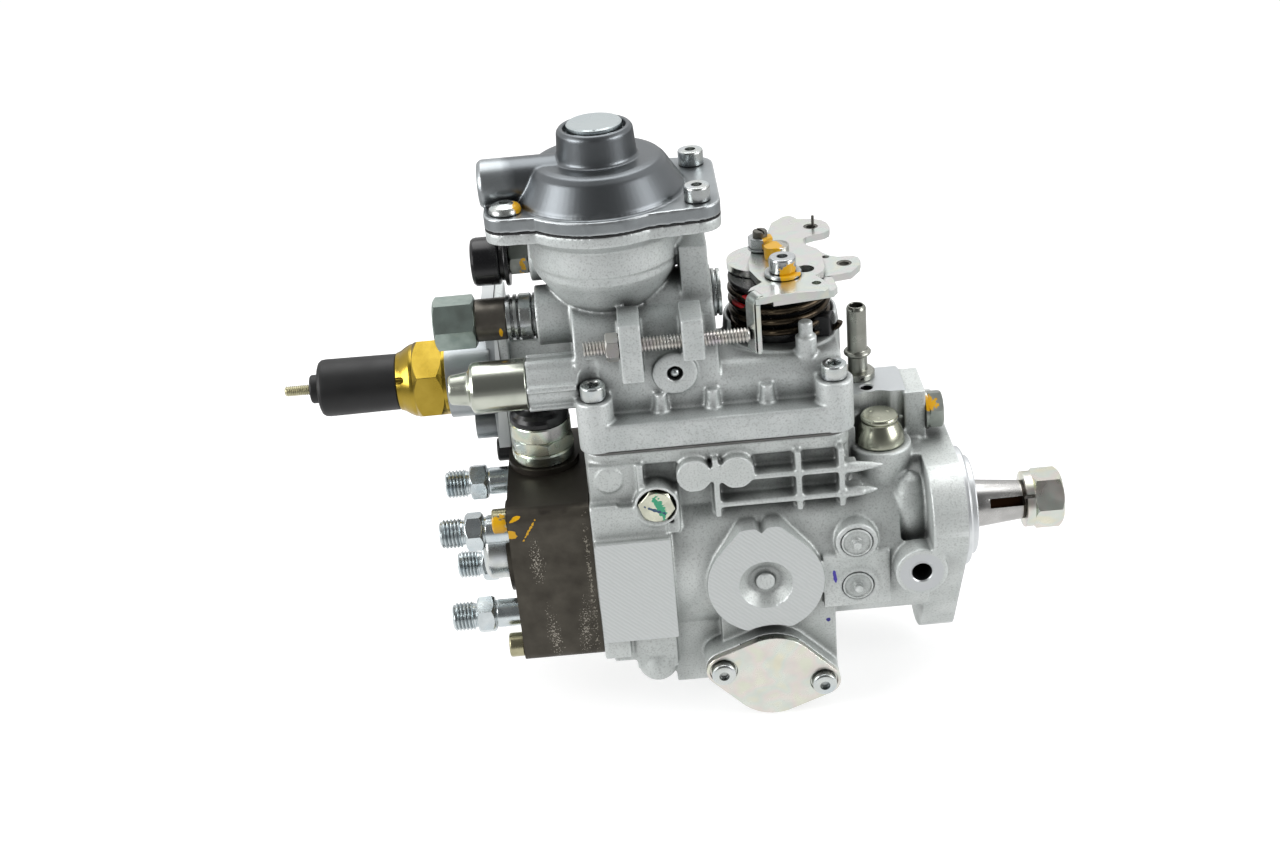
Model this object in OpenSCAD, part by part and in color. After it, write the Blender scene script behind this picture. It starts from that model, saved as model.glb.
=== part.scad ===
// Distributor injection pump for a four-cylinder diesel engine, with a boost compensator.
// X runs along the drive shaft towards the engine, Y away from the side that carries the
// throttle stop, Z up. The origin is where the shaft axis meets the mounting face.

/* [Drive end] */
// Diameter of the drive shaft
shaft_d = 20; // [18:0.5:21]
// Length of the 1:5 taper that carries the drive wheel
taper_l = 19; // [15:1:22]
// Thread diameter of the shaft end
shaft_thread_d = 14; // [12:1:14]
// Width across the flats of the shaft nut
nut_af = 22; // [20:1:24]
// Thickness of the shaft nut
nut_t = 12; // [9:0.5:14]
// Thickness of the spring washer
spring_washer_t = 3.2; // [2:0.2:4]
// Width of the key slot
key_w = 4; // [3:0.5:5]
// Length of the key slot
key_l = 14.5; // [10:0.5:15]
// Diameter of the pilot that centres the pump
pilot_d = 50; // [48:0.5:54]
// Length of the pilot
pilot_l = 7; // [5:0.5:9]
// Diameter of the step in front of the pilot
pilot_step_d = 41.5; // [40:0.5:44]
// Length of that step
pilot_step_l = 3; // [2:0.5:4]

/* [Mounting flange] */
// Thickness of the mounting flange
flange_t = 14; // [12:0.5:16]
// Diameter of the circle through the three bolt holes
flange_pcd = 68; // [66:0.5:72]
// Diameter of the bolt holes
flange_hole_d = 8.5; // [6.5:0.5:9]
// Radius of the flange around each bolt hole
flange_lobe_r = 21; // [18:0.5:23]
// Diameter of the tapped hole for a side bracket
bracket_hole_d = 8.5; // [6:0.5:10]
// Distance of the bracket face from the shaft axis
bracket_face = 48; // [45:0.5:50]

/* [Housing] */
// Length of the housing behind the mounting face
body_l = 148; // [146:1:150]
// Outer radius of the round body
barrel_r = 40; // [39.5:0.25:41.5]
// Wall around the cam chamber
chamber_wall = 5; // [4.5:0.25:5.5]
// Height of the deck that carries the governor cover
deck_z = 56; // [55:0.5:57]
// Half of the width of the deck
deck_half = 31; // [30.5:0.5:33]
// Thickness of the raised pads on the round body
pad_proud = 2.5; // [1:0.25:3.5]

/* [Governor cover] */
// Thickness of the cover gasket
gasket_t = 0.7; // [0.5:0.1:1]
// Thickness of the flange of the cover
cover_flange_t = 11.5; // [10:0.5:13]
// Height of the four screw bosses above the cover flange
cover_boss_h = 10; // [8:0.5:12]
// Distance of the rear cover screws from the end of the cover
cover_screw_edge = 6; // [5.5:0.25:7]
// Distance between the cover screws across the shaft
cover_screw_dy = 49; // [48.5:0.5:50]
// Radius of the arched roof over the lever
roof_r = 20; // [19:0.5:21]
// Wall of the cover
cover_wall = 4; // [3:0.5:5]

/* [Throttle lever] */
// Height of the shelf that carries the throttle lever
tower_top_z = 86; // [85:0.5:87]
// Diameter of the throttle shaft
throttle_d = 10; // [8:0.5:11]
// Thickness of each lever plate
lever_t = 3; // [2.5:0.25:3.5]
// Diameter of the cable holes in the lever arms
lever_hole_d = 6; // [4:0.5:7]
// Diameter of the return spring
return_spring_d = 41; // [39:0.5:41.5]
// Diameter of the stop screw
stop_screw_d = 6; // [5:0.5:6]

/* [Boost compensator] */
// Height of the joint where the diaphragm is held
comp_joint_z = 145; // [144:0.5:147]
// Radius of the bowl and cover rims
comp_rim_r = 35; // [34:0.5:37]
// Thickness of the lower rim
comp_lower_t = 4.5; // [4:0.5:6]
// Thickness of the upper rim
comp_upper_t = 5.3; // [4.5:0.1:6]
// Thickness of the diaphragm
diaphragm_t = 0.8; // [0.5:0.1:1]
// Height of the cone above the joint
comp_cone_h = 19; // [17:0.5:21]
// Outer diameter of the neck
comp_neck_d = 29.5; // [27:0.5:31]
// Height of the neck above the cone
comp_neck_h = 12.5; // [10:0.5:14]
// Diameter of the disc that closes the neck
comp_disc_d = 21.5; // [20:0.5:23]
// Outer diameter of the boost pipe
boost_pipe_d = 19; // [17:0.5:19.5]
// Bore of the boost pipe
boost_bore_d = 12; // [8:0.5:13]
// Diameter of the bowl under the rims
bowl_d = 59.5; // [57:0.5:62]

/* [Distributor head] */
// Length of the head block
head_l = 33; // [31:0.5:35]
// Half of the width of the head block
head_half = 36; // [35:0.5:37]
// Height of the top face of the head above the shaft axis
head_top = 36; // [35:0.5:37]
// Distance of each outlet from the shaft axis, across and up
outlet_off = 20.3; // [19:0.1:21]
// Thread diameter of the outlets
outlet_thread_d = 12; // [10:0.5:14]
// Width across the flats of the outlets
outlet_af = 14; // [12:0.5:16]
// Length of each outlet behind the head
outlet_l = 29; // [27:0.5:31]
// Distance of the head screws from the sides of the head
head_screw_edge = 6; // [5.5:0.25:6.5]
// Diameter of the plunger
plunger_d = 10; // [8:0.5:11]
// Diameter of the barrel around the plunger
head_barrel_d = 22; // [20:0.5:23]

/* [Solenoid and side fittings] */
// Diameter of the shut-off solenoid
solenoid_d = 25; // [23:0.5:26]
// Width across the flats of the solenoid
solenoid_af = 24; // [22:0.5:25]
// Height of the solenoid above its seat
solenoid_h = 27; // [24:0.5:30]
// Diameter of the return nipple
nipple_d = 8; // [6:0.5:9]
// Bore of the return nipple
nipple_bore_d = 5.4; // [3:0.2:5.8]
// Height of the return nipple above its block
nipple_h = 32; // [28:0.5:34]

/* [Cold start device] */
// Diameter of the aluminium body of the cold start device
cold_body_d = 34; // [31:0.5:35]
// Width across the flats of its brass nut
cold_nut_af = 31; // [28:0.5:32]
// Diameter of the heater capsule
heater_d = 24; // [22:0.5:26]
// Length of the heater capsule outside the nut
heater_l = 33; // [29:0.5:36]
// Diameter of the stud for the heater wire
heater_stud_d = 4.5; // [4:0.5:6]

/* [Timing device] */
// Diameter of the timing piston
timing_piston_d = 20; // [18:0.5:20.5]
// Depth of the piston axis below the shaft axis
timing_drop = 46; // [46:0.25:47]
// Thickness of the cover plates
timing_plate_t = 3; // [2:0.25:4]
// Distance between the screws of each cover
timing_screw_pitch = 42; // [41:0.5:43]
// Travel of the roller ring in degrees
timing_travel = 12; // [8:1:12]

/* [Feed pump and governor] */
// Teeth of the gear on the drive shaft
gear_teeth = 28; // [28:1:28]
// Teeth of the gear on the flyweight cage
cage_teeth = 18; // [18:1:18]
// Module of both gears
gear_module = 2; // [1.98:0.01:2.02]
// Width of both gears
gear_w = 6; // [5:0.5:6.5]
// Radius of the flyweight cage
cage_r = 18; // [16:0.5:18.5]
// Diameter of the pin that carries the cage
governor_pin_d = 8; // [7:0.5:9]
// Width of the vane rotor
rotor_w = 10.4; // [9:0.2:11]
// Outer radius of the eccentric ring
feed_ring_r = 32; // [31:0.25:32.5]

/* [Fits] */
// Radial clearance of a running fit
fit = 0.03; // [0.02:0.005:0.05]
// Gap between pieces that move past each other
gap = 0.3; // [0.2:0.05:0.4]

/* [Hidden] */
$fn = 64;
overlap = 1;

// Stations along the shaft
taper_x = pilot_l + pilot_step_l + 3;
taper_end_x = taper_x + taper_l;
taper_small_d = shaft_d - taper_l / 5;
nut_x = taper_end_x + spring_washer_t + 0.5;
shaft_end_x = nut_x + nut_t + 1;
bush_x0 = -30;
feed_x1 = bush_x0 - 1;
feed_x0 = feed_x1 - rotor_w - 2 * gap;
feed_plate_t = 4;
chamber_x1 = feed_x0 - feed_plate_t;
gear_x1 = chamber_x1 - 1.4;
gear_x0 = gear_x1 - gear_w;
shaft_hub_x1 = gear_x0 - gap;
shaft_hub_x0 = shaft_hub_x1 - 4;
disc_x1 = shaft_hub_x0 - 2;
disc_x0 = disc_x1 - 8;
ring_x1 = -72.5;
ring_x0 = -88;
roller_d = 7;
cam_x1 = ring_x0 - roller_d / 2 - gap;
cam_lift = 2.2;
cam_x0 = cam_x1 - cam_lift - 6;
head_x1 = -body_l;
head_x0 = head_x1 - head_l;
spigot_l = 7;
chamber_r = barrel_r - chamber_wall;
head_screw_off = head_half - head_screw_edge;

// Governor
governor_z = gear_module * (gear_teeth + cage_teeth) / 2;
cage_x0 = -71.5;
cage_x1 = gear_x0 - gap;
sleeve_r = 7;
lever_x = head_x1 + 26.7;
lever_z = 34.5;
cheek_y = [9.5, 12];
lever_plate_t = 3;
collar_w = 11.4;
collar_r = 13.5;
collar_groove_w = 5;
ball_d = 4.4;
ball_z = 12;
lever_top_z = 82;
fulcrum_tip_d = 5;

// Deck and governor cover
cover_z = deck_z + gasket_t + 0.1;
flange_top_z = cover_z + cover_flange_t;
boss_top_z = flange_top_z + cover_boss_h;
cover_x0 = -body_l;
cover_x1 = -43;
cover_screw_x = [cover_x0 + cover_screw_edge, cover_x1 - 5];
cover_screw_y = [-cover_screw_dy / 2, cover_screw_dy / 2];
cavity_half = 20.7;
cavity_x0 = cover_x0 + 10;
cavity_x1 = chamber_x1 - 0.5;
roof_z = 88;
roof_x1 = -92;
low_roof_z = 85;
throttle_x = -65;
throttle_y = 10;
tower_r = 22.7;
tower_rim_z = 93.5;

// Boost compensator
comp_x = cover_x0 + 16;
comp_y = 10;
comp_bowl_z = comp_joint_z - comp_lower_t - diaphragm_t / 2;
comp_cover_z = comp_joint_z + diaphragm_t / 2;
comp_cone_top = comp_cover_z + comp_cone_h;
comp_neck_top = comp_cone_top + comp_neck_h;
comp_lobe_r = 8.5;
comp_screws = [[-36.5, -14.9], [-36.5, 14.9], [36.5, -20], [36.5, 20]];
stem_travel = 5;

// Throttle lever
lever_z0 = tower_top_z + 24;
tab_x = -79.5;
stop_y = -25;
stop_z = 99.7;
lug_x = [[-130, -121.5], [-106, -97.5]];

// Timing device
timing_x = -79.5;
timing_face = 43;
timing_rest = -timing_travel / 2;
timing_tilt = -12.5;
piston_l = 46;

// Screw sizes
m6_d = 6;
m6_head_d = 10;
m6_head_h = 6;
m6_key = 5;
tap_play = 0.04;
hole_play = 0.6;

// Bars along each axis, from one station to another
module x_rod(d, x0, x1, y = 0, z = 0) {
    translate([x0, y, z]) rotate([0, 90, 0]) cylinder(d = d, h = x1 - x0);
}
module y_rod(d, y0, y1, x = 0, z = 0) {
    translate([x, y0, z]) rotate([-90, 0, 0]) cylinder(d = d, h = y1 - y0);
}
module z_rod(d, z0, z1, x = 0, y = 0) {
    translate([x, y, z0]) cylinder(d = d, h = z1 - z0);
}
module x_cone(d0, d1, x0, x1, y = 0, z = 0) {
    translate([x0, y, z]) rotate([0, 90, 0]) cylinder(d1 = d0, d2 = d1, h = x1 - x0);
}
module block(x, y, z) {
    translate([x[0], y[0], z[0]]) cube([x[1] - x[0], y[1] - y[0], z[1] - z[0]]);
}

// A block whose upright corners are rounded
module round_block(x, y, z, r) {
    block([x[0] + r, x[1] - r], y, z);
    block(x, [y[0] + r, y[1] - r], z);
    for (cx = [x[0] + r, x[1] - r], cy = [y[0] + r, y[1] - r])
        z_rod(2 * r, z[0], z[1], cx, cy);
}

// A hexagon along X whose corners lie at the given angle, and one along Z
module x_hex(af, x0, x1, y = 0, z = 0, corner = 30) {
    translate([x0, y, z]) rotate([corner - 30, 0, 0]) rotate([0, 90, 0])
        cylinder(d = af / cos(30), h = x1 - x0, $fn = 6);
}
module z_hex(af, z0, z1, x = 0, y = 0, corner = 0) {
    translate([x, y, z0]) rotate([0, 0, corner])
        cylinder(d = af / cos(30), h = z1 - z0, $fn = 6);
}

// A hexagon along X with both rims turned down
module turned_hex(af, x0, x1, y = 0, z = 0, corner = 30) {
    rim = af * 0.06;
    intersection() {
        x_hex(af, x0, x1, y, z, corner);
        union() {
            x_cone(af, af / cos(30) + 0.2, x0, x0 + rim, y, z);
            x_rod(af / cos(30) + 0.2, x0 + rim, x1 - rim, y, z);
            x_cone(af / cos(30) + 0.2, af, x1 - rim, x1, y, z);
        }
    }
}

// An outline in the plane across X or across Y, extruded between two stations
module across_x(x0, x1) {
    translate([x0, 0, 0]) rotate([90, 0, 90]) linear_extrude(x1 - x0) children();
}
module across_y(y0, y1) {
    translate([0, y1, 0]) rotate([90, 0, 0]) linear_extrude(y1 - y0) children();
}

// Cap screws with a hexagon socket, the head above z = 0 and the shank below
module cap_screw(l, d = m6_d, head_d = m6_head_d, head_h = m6_head_h, key = m6_key) {
    difference() {
        union() {
            cylinder(d = head_d, h = head_h - 0.5);
            translate([0, 0, head_h - 0.5]) cylinder(d1 = head_d, d2 = head_d - 1, h = 0.5);
            translate([0, 0, -l]) cylinder(d = d, h = l + overlap);
        }
        translate([0, 0, head_h - 3]) cylinder(d = key / cos(30), h = 4, $fn = 6);
    }
}

// Outline of the three-bolt flange
function lobe(a) = flange_pcd / 2 * [cos(a), sin(a)];
module flange_outline() {
    lobes = [30, 150, 270];
    sides = [90, 210, 330];
    polygon([for (s = sides, e = [-60, 60]) lobe(s + e) + flange_lobe_r * [cos(s), sin(s)]]);
    for (a = lobes)
        translate(lobe(a)) circle(r = flange_lobe_r);
}

// Outline of a timing cover: two screw lobes and a round middle
module timing_outline(grow = 0) {
    mid_r = 18.7;
    lobe_r = 7;
    rotate(timing_tilt) hull() {
        circle(r = mid_r + grow, $fn = 48);
        for (s = [-1, 1])
            translate([s * timing_screw_pitch / 2, 0]) circle(r = lobe_r + grow, $fn = 32);
    }
}

// Outline of the tall raised pad on the cam chamber
pad_x = -80.3;
pad_z = -3;
module egg_outline(grow = 0) {
    difference() {
        hull() {
            translate([pad_x, pad_z]) circle(r = 23.5 + grow, $fn = 72);
            translate([pad_x - 7.5, 20]) circle(r = 3 + grow, $fn = 24);
            translate([pad_x + 5.5, 20.5]) circle(r = 3 + grow, $fn = 24);
        }
        translate([pad_x - 0.7, 26]) rotate(45) square(7.5 - grow / 2, center = true);
        translate([timing_x, -timing_drop]) circle(r = 23 - grow);
    }
}

module pump_housing() {
    color("#a9acae") difference() {
        union() {
            housing_flange();
            housing_barrel();
            housing_deck();
            housing_side();
            housing_timing();
            housing_inlet();
        }
        housing_bores();
        housing_pockets();
    }
}

// The mounting flange with its pilot and the bracket boss
bracket_x = -18.4;
bracket_z = -0.5;
module housing_flange() {
    across_x(-flange_t, 0) flange_outline();
    x_rod(pilot_d, -overlap, pilot_l);
    x_rod(pilot_step_d, -overlap, pilot_l + pilot_step_l);
    y_rod(21, -bracket_face, -20, bracket_x, bracket_z);
    y_rod(21, 20, bracket_face, bracket_x, bracket_z);
}

module housing_barrel() {
    x_rod(2 * barrel_r, -body_l, -flange_t + overlap);
    block([-body_l, -body_l + 11], [-head_half - 1, head_half + 1], [-head_half - 1, head_half]);
}

// The box under the governor cover
module housing_deck() {
    round_block([-body_l, cover_x1], [-deck_half, deck_half], [deck_z - 6, deck_z], 8);
    round_block([-body_l, cover_x1], [-deck_half + 3, deck_half - 3], [0, deck_z], 6);
    block([cover_x1 - 4, -30], [-18, 18], [20, deck_z - 4]);
}

// Pads, bosses and ribs on both long sides
module housing_side() {
    for (s = [0, 1])
        mirror([0, s, 0]) {
            // square pad beside the head
            block([-body_l + 0.5, -117], [-barrel_r - pad_proud + 1, -20], [-25.5, 21]);
            // pad that carries the pressed plugs
            block([-57, -30], [-barrel_r - pad_proud + 1.5, -20], [-18, 7]);
            for (z = plug_z)
                y_rod(17, -barrel_r - pad_proud + 1, -20, plug_x, z);
            side_bosses();
            side_ribs();
        }
    // tall pad with the machined face
    across_y(-barrel_r - pad_proud, -20) egg_outline();
}

plug_x = -43.2;
plug_z = [12, -8.4];
module side_bosses() {
    wall = -deck_half + 4;
    y_rod(11, -34, wall, -body_l + 8.8, 46);
    y_rod(17.8, -38, wall, lever_x, lever_z);
    for (x = [-105.6, -88.7])
        y_rod(14, -36, wall, x, 45.5);
    block([-body_l + 1, -body_l + 20], [-33, wall], [34, 52]);
}

module side_ribs() {
    wall = -deck_half + 4;
    for (x = [-97, -64.5, -47.5])
        block([x - 1.2, x + 1.2], [-36, wall], [26, 52]);
    block([-97, cover_x1 + 2], [-36, wall], [41.5, 43.7]);
    block([-97, cover_x1 + 4], [-36.5, wall], [30.5, 32.7]);
    block([-body_l + 1, -113], [-36, wall], [21, 25.5]);
    block([-body_l + 20, -body_l + 22.5], [-35, wall], [22, 52]);
    block([-115, -112.5], [-36, wall], [22, 40]);
}

// The cross bore of the timing device and what joins it to the barrel
module housing_timing() {
    y_rod(timing_piston_d + 15, -timing_face + 2, timing_face - 2, timing_x, -timing_drop);
    translate([timing_x, 0, -timing_drop])
        across_y(-timing_face, timing_face) timing_outline();
    block([-99, -52], [-36, 36], [-timing_drop - 4, -18]);
    // lug and web under the cam chamber
    y_rod(17, -28, 6, -126.5, -45.5);
    translate([-126.5, -28, -45.5]) rotate([90, 0, 0]) sphere(d = 17);
    block([-135, -118], [-34, 6], [-45.5, -20]);
    block([-119, -98], [-30, 20], [-56, -25]);
}

// Valve boss and the block with the return nipple
inlet_top_z = 60;
valve_x = -29.4;
valve_y = -15;
valve_seat_z = 43;
nipple_x = -34.2;
nipple_y = 10;
module housing_inlet() {
    z_rod(25, 0, valve_seat_z, valve_x, valve_y);
    block([cover_x1 - 2, -17.5], [-6, 16], [20, deck_z - 4]);
    block([cover_x1 + gap, -17.5], [-6, 16], [deck_z - 6, inlet_top_z]);
    block([-18.5, -9.5], [-8, 14], [30, inlet_top_z - 0.5]);
    block([-40, -9.5], [-20, 24], [25, 38]);
}

module housing_bores() {
    // shaft, seal and bush
    x_rod(26, bush_x0, pilot_l + pilot_step_l + overlap);
    x_rod(35, 2.5, pilot_l + pilot_step_l + overlap);
    // feed pump, cam chamber and the room for the governor
    x_rod(2 * (feed_ring_r + tap_play), chamber_x1 - 0.5, feed_x1);
    x_rod(2 * (feed_ring_r - 4), feed_x1 - overlap, bush_x0 + 0.5);
    x_rod(2 * chamber_r, -body_l - overlap, chamber_x1);
    block([cavity_x0, cavity_x1], [-cavity_half, cavity_half], [0, deck_z + overlap]);
    x_rod(governor_pin_d + 2 * tap_play, -60, -34, 0, governor_z);
    // timing piston and the slot for its pin
    y_rod(timing_piston_d + 2 * fit, -timing_face - overlap, timing_face + overlap,
        timing_x, -timing_drop);
    block([timing_x - 6, timing_x + 6], [-17, 17], [-timing_drop, -chamber_r + 3]);
    // mounting holes and the bracket holes
    for (a = [30, 150, 270])
        x_rod(flange_hole_d, -flange_t - overlap, overlap, lobe(a)[0], lobe(a)[1]);
    y_rod(bracket_hole_d, -bracket_face - overlap, -30, bracket_x, bracket_z);
    y_rod(bracket_hole_d, 30, bracket_face + overlap, bracket_x, bracket_z);
    // regulating valve, nipple and the bolt of the block
    z_rod(15, 31, valve_seat_z + overlap, valve_x, valve_y);
    z_rod(20 + 4 * gap, valve_seat_z, inlet_top_z + overlap, valve_x, valve_y);
    z_rod(10 + 2 * tap_play, inlet_top_z - 9, inlet_top_z + overlap, nipple_x, nipple_y);
    z_rod(5.4, inlet_top_z - 8, inlet_top_z + overlap, -32.3, -1);
    x_rod(8 + 2 * tap_play, -21, -8, -2, 48);
    // pressed plugs and fulcrum screws
    for (s = [-1, 1]) {
        for (z = plug_z)
            scale([1, s, 1]) y_rod(12.6, -barrel_r - pad_proud, -barrel_r + 4, plug_x, z);
        scale([1, s, 1]) y_rod(15.6, -39, -33, lever_x, lever_z);
        scale([1, s, 1]) y_rod(10 + 2 * tap_play, -34, -15, lever_x, lever_z);
    }
    // screws of the governor cover, the head and the timing covers
    for (x = cover_screw_x, y = cover_screw_y)
        z_rod(m6_d + 2 * tap_play, deck_z - 16, deck_z + overlap, x, y);
    for (y = [-1, 1], z = [-1, 1])
        x_rod(m6_d + 2 * tap_play, -body_l - overlap, -body_l + 10,
            y * head_screw_off, z * head_screw_off);
    for (s = [-1, 1], e = [-1, 1])
        timing_screw_place(s, e) translate([0, 0, -12]) cylinder(d = m6_d + 2 * tap_play, h = 14);
}

// Carries a screw to one end of one timing cover, its head away from the pump
module timing_screw_place(side, end) {
    translate([timing_x, side * timing_face, -timing_drop]) rotate([90 * -side, 0, 0])
        rotate([0, 0, timing_tilt * -side]) translate([end * timing_screw_pitch / 2, 0, 0])
            children();
}

// Room for the flange bolts, and the recesses of the side walls
module housing_pockets() {
    for (a = [30, 150])
        x_rod(24, -25, -flange_t, lobe(a)[0], lobe(a)[1]);
    for (s = [-1, 1])
        block([-24, -flange_t], [s * 45 - 19, s * 45 + 19], [10, 29]);
    x_rod(22, -23, -flange_t, lobe(270)[0], lobe(270)[1] - 4);
    // conical recess of the tall pad, with its centre nub
    difference() {
        translate([pad_x, -barrel_r - pad_proud, -3.5]) rotate([-90, 0, 0])
            cylinder(d1 = 22.5, d2 = 12, h = 4.5);
        y_rod(8, -barrel_r - pad_proud + 2, -20, pad_x, -3.5);
    }
}

module drive_bush() {
    color("#b08d57") difference() {
        x_rod(26 - 2 * tap_play, bush_x0 + 0.3, 2.2);
        x_rod(shaft_d + 2 * fit, bush_x0 - overlap, 3);
    }
}

module shaft_seal() {
    seal_x1 = pilot_l + pilot_step_l - 0.3;
    color("#2b2b2d") difference() {
        x_rod(35 - 2 * tap_play, 2.7, seal_x1);
        x_rod(shaft_d + 2 * fit, 2, seal_x1 + overlap);
        x_cone(shaft_d + 3, shaft_d + 9, seal_x1 - 3, seal_x1 + 0.1);
    }
}

// Eccentric ring and support plate of the vane pump
module feed_ring() {
    color("#8d8f92") {
        difference() {
            x_rod(2 * feed_ring_r, feed_x0 + 0.1, feed_x1 - 0.1);
            x_rod(2 * (feed_ring_r - 7), feed_x0 - overlap, feed_x1 + overlap, 0, 3);
        }
        difference() {
            x_rod(2 * feed_ring_r, chamber_x1, feed_x0 - 0.1);
            x_rod(shaft_d + 1.6, chamber_x1 - overlap, feed_x0);
            for (s = [-1, 1])
                x_rod(5, chamber_x1 - overlap, feed_x0, s * 28, 0);
        }
    }
}

// Hexagon screws at both sides whose tips carry the governor lever
module fulcrum_screws() {
    color("#c9c9bd") for (s = [0, 1])
        mirror([0, s, 0]) difference() {
            union() {
                translate([lever_x, -35.5, lever_z]) rotate([-90, 0, 0])
                    cylinder(d = 13 / cos(30), h = 2.4, $fn = 6);
                y_rod(10, -33.2, -18, lever_x, lever_z);
                y_rod(fulcrum_tip_d, -19, -cheek_y[0], lever_x, lever_z);
            }
        }
}

module pressed_plugs() {
    face = -barrel_r - pad_proud + 1.6;
    color("#b4b6b7") for (s = [0, 1], z = plug_z)
        mirror([0, s, 0]) difference() {
            y_rod(12.5, face, face + 3.6, plug_x, z);
            difference() {
                y_rod(6.4, face - overlap, face + 1.4, plug_x, z);
                y_rod(3.4, face - overlap, face + 2, plug_x, z);
            }
        }
}

// Cover plates at both ends of the timing piston
module timing_covers() {
    color("#d9d8bf") for (side = [-1, 1])
        difference() {
            translate([timing_x, 0, -timing_drop])
                across_y(side < 0 ? -timing_face - timing_plate_t - 0.1 : timing_face + 0.1,
                    side < 0 ? -timing_face - 0.1 : timing_face + timing_plate_t + 0.1)
                    timing_outline();
            for (e = [-1, 1])
                timing_screw_place(side, e) {
                    translate([0, 0, -2]) cylinder(d = m6_d + hole_play, h = 9);
                    translate([0, 0, timing_plate_t - 1]) cylinder(d = 11.4, h = 3);
                }
        }
}

module timing_cover_screws() {
    color("#c7cbcb") for (side = [-1, 1], e = [-1, 1])
        timing_screw_place(side, e) translate([0, 0, timing_plate_t - 0.9])
            cap_screw(12, head_h = 4, key = 4.5);
}

module distributor_head() {
    color("#4a423a") difference() {
        union() {
            for (e = [0, 1])
                block([head_x0, head_x1 - 0.1], (head_half - 5 * e) * [-1, 1],
                    [-head_half + 5 - 5 * e, head_top - 5 + 5 * e]);
            for (y = [-1, 1], z = [-head_half + 5, head_top - 5])
                x_rod(10, head_x0, head_x1 - 0.1, y * (head_half - 5), z);
            x_rod(2 * (chamber_r - 0.1), head_x1 - overlap, head_x1 + spigot_l);
            x_rod(38, head_x0 - 3.5, head_x0 + overlap);
            z_rod(29, head_top - overlap, solenoid_seat_z, solenoid_x, solenoid_y);
        }
        x_rod(head_barrel_d + 2 * tap_play, head_x0 - 5, head_x1 + spigot_l + overlap);
        for (y = [-1, 1], z = [-1, 1]) {
            x_rod(outlet_stem_d + 2 * tap_play, head_x0 - overlap, head_x0 + 13,
                y * outlet_off, z * outlet_off);
            x_rod(m6_d + hole_play, head_x0 - overlap, head_x1 + overlap,
                y * head_screw_off, z * head_screw_off);
        }
        z_rod(18 + 2 * tap_play, head_barrel_d / 2 + 13, solenoid_seat_z + overlap,
            solenoid_x, solenoid_y);
        z_rod(armature_d + 2 * gap, head_barrel_d / 2 + 3, solenoid_seat_z, solenoid_x, solenoid_y);
    }
}

module head_screws() {
    color("#8f8b6c") for (y = [-1, 1], z = [-1, 1])
        translate([head_x0 - 0.1, y * head_screw_off, z * head_screw_off])
            rotate([0, -90, 0]) cap_screw(head_l + 9.5);
}

module head_barrel() {
    color("#77797c") difference() {
        x_rod(head_barrel_d, head_x0 - 3.4, head_x1 + spigot_l + 6);
        x_rod(plunger_d + 2 * fit, head_x0 - 4, head_x1 + spigot_l + 7);
    }
}

module central_plug() {
    color("#cfd2d0") difference() {
        union() {
            x_rod(27, head_x0 - 12, head_x0 - 3.7);
            x_cone(22, 27, head_x0 - 14, head_x0 - 12);
        }
        x_hex(8, head_x0 - 15, head_x0 - 9);
    }
}

// Outlets, each with a thread for the injection pipe, a hexagon and a stem in the head
outlet_stem_d = 11.6;
outlet_corner = [12, 24, 40, 52];
outlet_thread_l = 7;
outlet_neck_l = 3.6;
outlet_hex_l = 7.2;
module valve_holders() {
    end_x = head_x0 - outlet_l;
    hex_x = end_x + outlet_thread_l + outlet_neck_l;
    color("#c2c6c8") for (i = [0 : 3])
        translate([0, outlet_off * (i % 2 == 0 ? -1 : 1), outlet_off * (i < 2 ? 1 : -1)])
            difference() {
                union() {
                    x_cone(outlet_thread_d - 2, outlet_thread_d, end_x, end_x + 1);
                    x_rod(outlet_thread_d, end_x + 1, end_x + outlet_thread_l);
                    x_rod(outlet_thread_d - 2.2, end_x + outlet_thread_l - 0.1, hex_x + 0.1);
                    turned_hex(outlet_af, hex_x, hex_x + outlet_hex_l, 0, 0, outlet_corner[i]);
                    x_rod(outlet_stem_d, hex_x + outlet_hex_l - 0.1, head_x0 + 12.5);
                }
                x_rod(3, end_x - overlap, head_x0);
                x_cone(7, 3, end_x - 0.1, end_x + 2.6);
                x_rod(valve_d + 2 * fit, valve_x0 - valve_lift - gap, head_x0 + 13);
            }
}

// Delivery valves, each in the bore of its own outlet
valve_d = 6;
valve_l = 12;
valve_lift = 2.5;
valve_x0 = head_x0 - 4;
module delivery_valve(i) {
    color("#9aa0a4")
        translate([0, outlet_off * (i % 2 == 0 ? -1 : 1), outlet_off * (i < 2 ? 1 : -1)]) {
            x_rod(valve_d, valve_x0, valve_x0 + 4);
            x_cone(valve_d, valve_d - 2.6, valve_x0 + 4 - 0.01, valve_x0 + 6);
            x_rod(valve_d - 2.6, valve_x0 + 6 - 0.01, valve_x0 + valve_l);
        }
}

module governor_cover() {
    color("#b1b3b3") difference() {
        union() {
            cover_body();
            cover_lugs();
            compensator_bowl();
            cover_arms();
        }
        cover_cavities();
        cover_bores();
    }
}

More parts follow.
